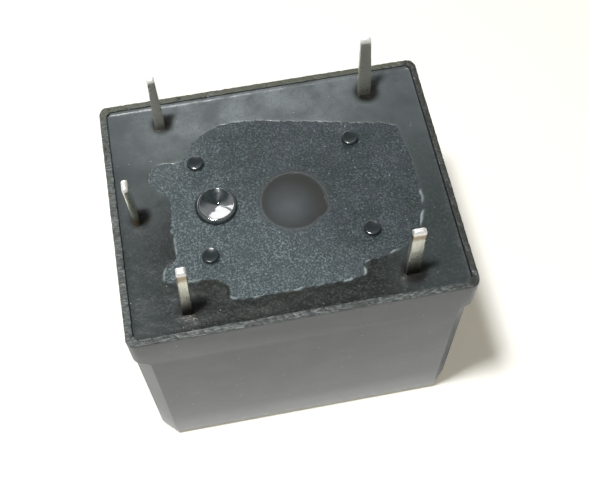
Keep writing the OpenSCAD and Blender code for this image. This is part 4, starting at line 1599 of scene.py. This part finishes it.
@dataclass
class Potting(Assembly):
    """The resin cast round the base's face, and the seal in the base's vent."""

    pitch: float = 0.07
    low_lap: Point = (0.04, 0.07, 0.0)
    high_lap: Point = (0.08, 0.1, 0.0)
    inner_lap: float = 0.4
    film: float = 0.035
    film_run: float = 0.12
    dip: float = 0.05
    ridge: float = 0.03
    ridge_run: float = 0.07
    glint_share: float = 0.9
    wall_climb: float = 0.05
    wall_run: float = 0.12
    back_climb: float = 0.14
    back_run: float = 0.1
    pin_climb: float = 0.03
    pin_run: float = 0.3
    steps: int = 72
    lip_share: float = 0.84
    lip_drop: float = 0.02
    lip_profile: tuple[tuple[float, float], ...] = (
        (0.84, -0.015), (0.88, 0.0), (0.92, -0.02), (0.95, -0.09)
    )
    skirt_profile: tuple[tuple[float, float], ...] = ((0.97, 0.04), (1.0, -0.04), (0.98, -0.12))
    stem_r: float = 0.3
    ring_shares: tuple[float, float] = (0.97, 0.99)
    dimple_depth: float = 0.37
    dimple_power: float = 1.08
    dimple_back: float = 0.17
    dimple_drift: float = 0.12
    unevenness: float = 0.012

    def build(self) -> None:
        """Make the resin and the vent's seal."""
        self._resin()
        self._vent()

    def _resin(self) -> None:
        """Make the resin: level in the trough, drawn up at walls and pins, and thin at its edge."""
        low, high = corners("sealing_resin")
        low, high = low - Vector(self.low_lap), high + Vector(self.high_lap)
        edge = smooth_loop(RESIN_EDGE)
        pool = Bench.grid("resin_fill", low, high, FACE_Z, self.pitch)

        def shape(p: np.ndarray) -> np.ndarray:
            """Raise the resin at walls and pins, and thin it out at its edge.

            Args:
                p: The places, as rows of x, y and z.

            Returns:
                The new places.
            """
            x, y = p[:, 0], p[:, 1]
            away = outside(x, y, edge) + 0.03 * ripple(x, y, 0.8, 31) + 0.015 * ripple(x, y, 0.3, 32)
            film = self.film * (1 - np.exp(-np.maximum(away, 0) / self.film_run))
            film -= self.dip * smooth_step(-away, 0, self.film_run)
            glint = smooth_step(ripple(x, y, 0.9, 35), -0.2, 0.7) * smooth_step(1 - y, 0, 3)
            crest_glint = np.exp(-((away / self.ridge_run) ** 2)) * glint
            film += self.ridge * crest_glint
            # the ridge's mask is stored on the mesh, for the painted highlight along it
            values = pool.data.attributes.new("crest_glint", "FLOAT", "POINT").data
            values.foreach_set("value", self.glint_share * crest_glint)
            climb = self.back_climb * np.exp(-(high.y - y) / self.back_run)
            for gap in (high.x - np.abs(x), y - low.y):
                climb += self.wall_climb * np.exp(-gap / self.wall_run)
            for pin in PINS.values():
                gap = beside(x, y, (pin.x, pin.y), (pin.wide / 2, pin.deep / 2))
                climb += self.pin_climb * np.exp(-gap / self.pin_run)
            swell = 0.012 * ripple(x, y, 2.6, 33) + 0.006 * ripple(x, y, 0.9, 34)
            p[:, 2] += film + climb + swell * smooth_step(away, 0, 0.6)
            return p

        Bench.move(pool, shape)
        Bench.drop(pool, lambda x, y: outside(x, y, edge) < -self.inner_lap, FACE_Z - low.z)
        self.fit(pool, "resin", "sealing_resin")

    def _vent(self) -> None:
        """Make the seal: a raised, rounded rim round a glossy dimple, which sank a little off centre."""
        low, high = corners("vent_seal")
        r, z, deep = (high.x - low.x) / 2, high.z, self.dimple_depth
        shares = [*(k / 8 for k in range(8)), *self.ring_shares]
        drops = [deep * (1 - share ** self.dimple_power) for share in shares]
        bowl = [(self.lip_share * r * share, z - self.lip_drop - drop) for share, drop in zip(shares, drops)]
        lip = [(share * r, z + height) for share, height in self.lip_profile]
        skirt = [(share * r, FACE_Z + height) for share, height in self.skirt_profile]
        stem = [(self.stem_r, z - deep - self.stem_r), (self.stem_r, low.z), (0.0, low.z)]
        skin = Bench.spin("vent_skin", [*bowl, *lip, *skirt, *stem], (VENT_MOAT.x, VENT_MOAT.y), self.steps)

        def settle(p: np.ndarray) -> np.ndarray:
            """Let the dimple sink off centre, with a faint unevenness.

            Args:
                p: The places, as rows of x, y and z.

            Returns:
                The new places.
            """
            x = p[:, 0] - VENT_MOAT.x
            share = (1 - np.hypot(x, p[:, 1]) / r).clip(0) * (p[:, 2] > z - deep - 0.1)
            p[:, 0] += self.dimple_drift * share
            p[:, 1] += self.dimple_back * share
            p[:, 2] += self.unevenness * ripple(x, p[:, 1], 0.9, 61) * (share > 0)
            return p

        Bench.move(skin, settle)
        self.fit(skin, "vent_resin", "vent_seal", angle=60)


@dataclass(frozen=True)
class Pin:
    """A pin's section, and how far it leans and narrows from its foot to its tip."""

    x: float
    y: float
    wide: float
    deep: float
    lean: tuple[float, float]
    taper: float
    seed: int
    edge: float = 0.08


PINS = {
    "coil_terminal_back": Pin(-6.1, 6.0, 0.6, 0.6, (0.06, -0.07), 0.3, 43),
    "coil_terminal_front": Pin(-6.1, -6.0, 0.6, 0.6, (0.18, 0.13), 0.1, 41),
    "normally_closed_terminal": Pin(6.1, 6.0, 0.8, 0.4, (-0.05, 0.28), 0.24, 47),
    "normally_open_terminal": Pin(6.1, -6.0, 0.8, 0.4, (-0.02, 0.03), 0.1, 45),
    "common_terminal": Pin(-8.1, 0.0, 0.4, 0.9, (-0.08, -0.15), 0.12, 50, 0.14),
}


@dataclass
class Terminals(Assembly):
    """The five pins with what they turn into inside the case."""

    bevel: float = 0.2
    tip_share: tuple[float, float] = (0.68, 0.55)
    sheet: float = 0.4
    wire_bend: float = 0.45
    sheet_bend: float = 0.5
    wire_edge: float = 0.05
    sheet_edge: float = 0.04
    plate_corner: float = 0.6
    wire_lap: float = 0.05
    sheet_lap: float = 0.3
    slices: float = 0.3
    wave: float = 0.01

    def build(self) -> None:
        """Make the five terminals."""
        back = corners("bobbin")[1].z
        for name in ("back", "front"):
            self._coil_terminal(name, back)
        for side, name in ((1, "closed"), (-1, "open")):
            self._contact_terminal(side, name, back)
        self._common_terminal(back)

    def _pin(self, node: str, foot: float) -> bpy.types.Object:
        """One pin: tapered and leaning above the base, with a bevelled tip.

        Args:
            node: The node that it belongs to.
            foot: Height at which it starts.

        Returns:
            The pin.
        """
        pin, tip = PINS[node], corners(node)[1].z
        half = Vector((pin.wide / 2, pin.deep / 2, 0))
        centre = Vector((pin.x, pin.y, 0))
        blade = Bench.block(
            "pin", centre - half + Vector((0, 0, foot)), centre + half + Vector((0, 0, tip - self.bevel))
        )
        Bench.select(blade, lambda at, normal: normal.z > 0.9)
        bpy.ops.mesh.extrude_region_move(TRANSFORM_OT_translate={"value": (0, 0, self.bevel)})
        bpy.ops.transform.resize(value=(*self.tip_share, 1), center_override=(pin.x, pin.y, tip))
        Bench.clear()
        Bench.soften(blade, pin.edge, 3)
        for height in np.arange(FACE_Z, tip - self.bevel, self.slices):
            Bench.slice(blade, (0, 0, float(height)), (0, 0, 1), lambda at, normal: True)

        def draw(p: np.ndarray) -> np.ndarray:
            """Narrow the pin towards its tip, and lean it.

            Args:
                p: The places, as rows of x, y and z.

            Returns:
                The new places.
            """
            up = smooth_step(p[:, 2], FACE_Z, tip)
            rise = (p[:, 2] - FACE_Z).clip(0) / (tip - FACE_Z)
            for k, middle in ((0, pin.x), (1, pin.y)):
                wave = self.wave * ripple(p[:, 2], p[:, 1 - k], 1.3, pin.seed + k)
                p[:, k] = middle + (p[:, k] - middle) * (1 - pin.taper * up) + pin.lean[k] * rise + wave
            return p

        Bench.move(blade, draw)
        return blade

    def _coil_terminal(self, name: str, back: float) -> None:
        """A square wire that turns into a post under the bobbin's flange.

        Args:
            name: Its side, back or front.
            back: Height of the base's back.
        """
        low, high = corners(f"coil_terminal_{name}")
        thick, bend = high.y - low.y, self.wire_bend
        x, y, z = low.x + thick / 2, (low.y + high.y) / 2, low.z + thick / 2
        Bench.clear()
        bpy.ops.mesh.primitive_plane_add(
            size=thick, location=(high.x, y, z), rotation=(0, math.radians(90), 0)
        )
        wire = Bench.draw_out(
            f"coil_wire_{name}", run=(x + bend - high.x, 0, 0), centre=(x + bend, y, z + bend),
            axis=(0, 1, 0), angle=90, rise=back - z - bend,
        )
        Bench.soften(wire, self.wire_edge)
        pin = self._pin(f"coil_terminal_{name}", back - self.wire_lap)
        self.fit(Bench.join([wire, pin], f"coil_wire_{name}"), "tinned_metal", f"coil_terminal_{name}")

    def _contact_terminal(self, side: int, name: str, back: float) -> None:
        """A sheet that turns into an arm over its contact, with a pin at its edge.

        Args:
            side: Its side, 1 or -1.
            name: Its contact, closed or open.
            back: Height of the base's back.
        """
        low, high = corners(f"normally_{name}_terminal")
        t, bend = self.sheet, self.sheet_bend
        z = low.z + t / 2
        y = (high.y if side > 0 else low.y) - side * t / 2
        end = low.y if side > 0 else high.y
        Bench.clear()
        bpy.ops.mesh.primitive_plane_add(
            size=1, location=((low.x + high.x) / 2, end, z), rotation=(math.radians(90), 0, 0)
        )
        bpy.context.object.scale = (high.x - low.x, t, 1)
        turn_y = y - side * bend
        arm = Bench.draw_out(
            f"blade_{name}", run=(0, turn_y - end, 0), centre=(low.x, turn_y, z + bend),
            axis=(1, 0, 0), angle=side * 90, rise=back - z - bend,
        )
        Bench.soften(arm, self.sheet_edge)
        pin = self._pin(f"normally_{name}_terminal", back - self.sheet_lap)
        self.fit(Bench.join([arm, pin], f"blade_{name}"), "tinned_blade", f"normally_{name}_terminal")

    def _common_terminal(self, back: float) -> None:
        """A blade on a plate that is riveted to the yoke.

        Args:
            back: Height of the base's back.
        """
        low, high = corners("common_terminal")
        plate = Bench.block("common_blade", low, (high.x, high.y, back))
        Bench.select_edges(plate, lambda a, b: abs(a.x - b.x) > 0.1)
        bpy.ops.mesh.bevel(offset=self.plate_corner, segments=1, affect="EDGES")
        Bench.clear()
        Bench.soften(plate, self.sheet_edge)
        pin = self._pin("common_terminal", back - self.sheet_lap)
        self.fit(Bench.join([plate, pin], "common_blade"), "tinned_metal", "common_terminal")


@dataclass
class Spring(Assembly):
    """The one-piece contact spring, bent round the armature's heel, which carries the moving contact."""

    pivot: Point
    open_angle: float
    thick: float = 0.2
    bend_r: float = 1.0
    armature_t: float = 1.1
    tip_half: float = 1.4
    window_half: float = 1.1
    window_run: float = 0.4
    edge: float = 0.03
    taper_past: tuple[float, float] = (-2.0, 1.4)
    cells: tuple[int, int] = (156, 12)

    def build(self) -> None:
        """Make the spring flat and bend it; it rides on neither body."""
        low, high = corners("contact_spring")
        leg_x = low.x + self.thick / 2
        heel, lean = Vector((self.pivot[0], self.pivot[2])), math.radians(self.open_angle)
        across, along = Vector((math.sin(lean), math.cos(lean))), Vector((math.cos(lean), -math.sin(lean)))
        corner = heel - self.armature_t * across
        mid = self.bend_r + self.thick / 2
        centre_x = leg_x + mid
        centre = Vector((centre_x, corner.y + (self.bend_r - across.x * (centre_x - corner.x)) / across.y))
        foot = centre - mid * across
        leg, arc, arm = high.z - centre.y, mid * (math.pi / 2 - lean), high.x - foot.x
        taper = [corners("armature")[1].x + past for past in self.taper_past]
        length = leg + arc + arm
        Bench.clear()
        bpy.ops.mesh.primitive_grid_add(x_subdivisions=self.cells[0], y_subdivisions=self.cells[1], size=1)
        bpy.context.object.scale = (length, 2, 1)
        bpy.context.object.location = (length / 2, 0, 0)
        strip = Bench.named("bronze_spring")
        window = (leg - 2 * self.window_run, leg + arc + self.window_run)

        def in_window(at: Vector, normal: Vector) -> bool:
            """Whether a face lies in the window over the heel."""
            return window[0] < at.x < window[1] and abs(at.y) < self.window_half / high.y

        Bench.select(strip, in_window)
        bpy.ops.mesh.delete(type="FACE")

        def bend(p: np.ndarray) -> np.ndarray:
            """Lay the flat strip along its leg, round its bend and along its arm.

            Args:
                p: The places, as rows of x, y and z.

            Returns:
                The new places.
            """
            s, v = p[:, 0].copy(), p[:, 1].copy()
            reach = foot.x + np.maximum(s - leg - arc, 0)
            share = np.clip((reach - taper[0]) / (taper[1] - taper[0]), 0, 1)
            narrow = high.y + (self.tip_half - high.y) * share
            past = np.clip(reach - (high.x - self.tip_half), 0, self.tip_half * 0.999)
            narrow = np.minimum(narrow, np.where(past > 0, np.sqrt(self.tip_half**2 - past**2), narrow))
            turn = math.pi + np.clip(s - leg, 0, arc) / mid
            on_arm = np.maximum(s - leg - arc, 0)
            p[:, 0] = np.where(s < leg, leg_x, centre.x + mid * np.cos(turn) + along.x * on_arm)
            p[:, 2] = np.where(s < leg, high.z - s, centre.y + mid * np.sin(turn) + along.y * on_arm)
            p[:, 1] = v * narrow
            return p

        Bench.move(strip, bend)
        Bench.modify(strip, "SOLIDIFY", thickness=self.thick, offset=0.0)
        Bench.soften(strip, self.edge, 1, 50)
        bend_from = (centre.x - mid, 0.0, centre.y)
        bend_to = (foot.x + self.window_run, 0.0, foot.y)
        self.fit(strip, "spring_bronze", "contact_spring", bend=(bend_from, bend_to))


@dataclass
class Coil(Assembly):
    """The winding, with its turns, and its leads wrapped round the two posts."""

    wire: float = 0.12
    lead: float = 0.16
    steps: int = 96
    rings: int = 6
    wraps: int = 3
    lead_angle: float = 130.0
    lead_pitch: float = 1.05
    lead_sag: float = 0.15
    swell: float = 0.02
    tuck: float = 0.4

    def build(self) -> None:
        """Make the winding."""
        core_low, core_high = corners("core")
        high = corners("coil_winding")[1]
        x, top = (core_low.x + core_high.x) / 2, high.z
        radius = high.x - x
        foot = corners("coil_winding")[0].z
        turns = round((top - foot) / self.wire)
        Bench.clear()
        bpy.ops.mesh.primitive_grid_add(x_subdivisions=self.steps, y_subdivisions=turns * self.rings, size=1)
        sheet = Bench.named("wound_wire")

        def roll(p: np.ndarray) -> np.ndarray:
            """Roll the flat sheet up, with a round ridge for each turn of wire.

            Args:
                p: The places, as rows of x, y and z.

            Returns:
                The new places.
            """
            angle, height = p[:, 0] * math.tau, (p[:, 1] + 0.5) * (top - foot)
            across = np.mod(height / self.wire + p[:, 0], 1.0) - 0.5
            reach = radius - self.wire / 2 + self.wire * np.sqrt(np.maximum(0.25 - across**2, 0.0))
            reach += self.swell * ripple(angle * radius, height, 3.0, 51)
            return np.stack([x + reach * np.cos(angle), reach * np.sin(angle), foot + height], axis=1)

        Bench.move(sheet, roll)
        Bench.select_all(sheet)
        bpy.ops.mesh.remove_doubles(threshold=1e-4)
        bpy.ops.mesh.select_all(action="SELECT")
        bpy.ops.mesh.region_to_loop()
        bpy.ops.mesh.extrude_edges_move()
        inner = corners("core")[1].x - x - self.tuck
        bpy.ops.transform.resize(value=(inner / radius, inner / radius, 1), center_override=(x, 0, 0))
        Bench.outward(sheet)
        start = radius - self.lead
        turn = math.radians(self.lead_angle)
        leave = Vector((x + start * math.cos(turn), start * math.sin(turn), top - self.lead))
        leads = [self._lead(leave, side) for side in (1, -1)]
        self.fit(Bench.join([sheet, *leads], "wound_wire"), "enamelled_wire", "coil_winding")

    def _lead(self, leave: Vector, side: int) -> bpy.types.Object:
        """One lead: across to its post and a few turns round it.

        Args:
            leave: Where the lead of the +Y side leaves the winding.
            side: 1 for the +Y side and -1 for the other.

        Returns:
            The lead.
        """
        low, high = corners("coil_terminal_back")
        half = (high.y - low.y) / 2
        post = Vector((corners("coil_solder")[0].x, (low.y + high.y) / 2, low.z + half))
        reach = half + self.lead / 2
        middle = leave.lerp(Vector((post.x - 0.1, post.y - reach, post.z)), 0.5)
        path = [leave, middle + Vector((0, 0, self.lead_sag))]
        for k in range(8 * self.wraps + 1):
            turn = math.pi + k * math.tau / 8
            out = min(reach / max(abs(math.cos(turn)), abs(math.sin(turn))), 1.25 * reach)
            along = self.lead * self.lead_pitch * (k / 8 + 0.5)
            path.append(post + Vector((-along, out * math.cos(turn), -out * math.sin(turn))))
        curve = bpy.data.curves.new("lead", "CURVE")
        curve.dimensions, curve.bevel_depth, curve.bevel_resolution = "3D", self.lead / 2, 2
        line = curve.splines.new("POLY")
        line.points.add(len(path) - 1)
        for point, place in zip(line.points, path):
            point.co = (place.x, side * place.y, place.z, 1)
        Bench.clear()
        thing = bpy.data.objects.new("lead", curve)
        bpy.context.scene.collection.objects.link(thing)
        thing.select_set(True)
        bpy.context.view_layer.objects.active = thing
        bpy.ops.object.convert(target="MESH")
        return bpy.context.object


def main() -> None:
    """Build the scene."""
    logging.basicConfig(level=logging.INFO, format="%(name)s: %(message)s")
    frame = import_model()
    finishes = Finishes(corners("case")[1].z, corners("coil_terminal_back")[1].z)
    for part in frame["record"]["subparts"]:
        finishes.paint(frame["nodes"][part["node"]], part["material_slot"])
    hinge = frame["joints"][0]
    pivot = tuple(k / MM for k in hinge["pos_m"])
    parts = (
        Case(finishes), Base(finishes), Potting(finishes), Terminals(finishes), Coil(finishes),
        Spring(finishes, pivot, hinge["range_deg"][1]),
    )
    for assembly in parts:
        assembly.build()
    Stage().build()


if __name__ == "__main__":
    main()
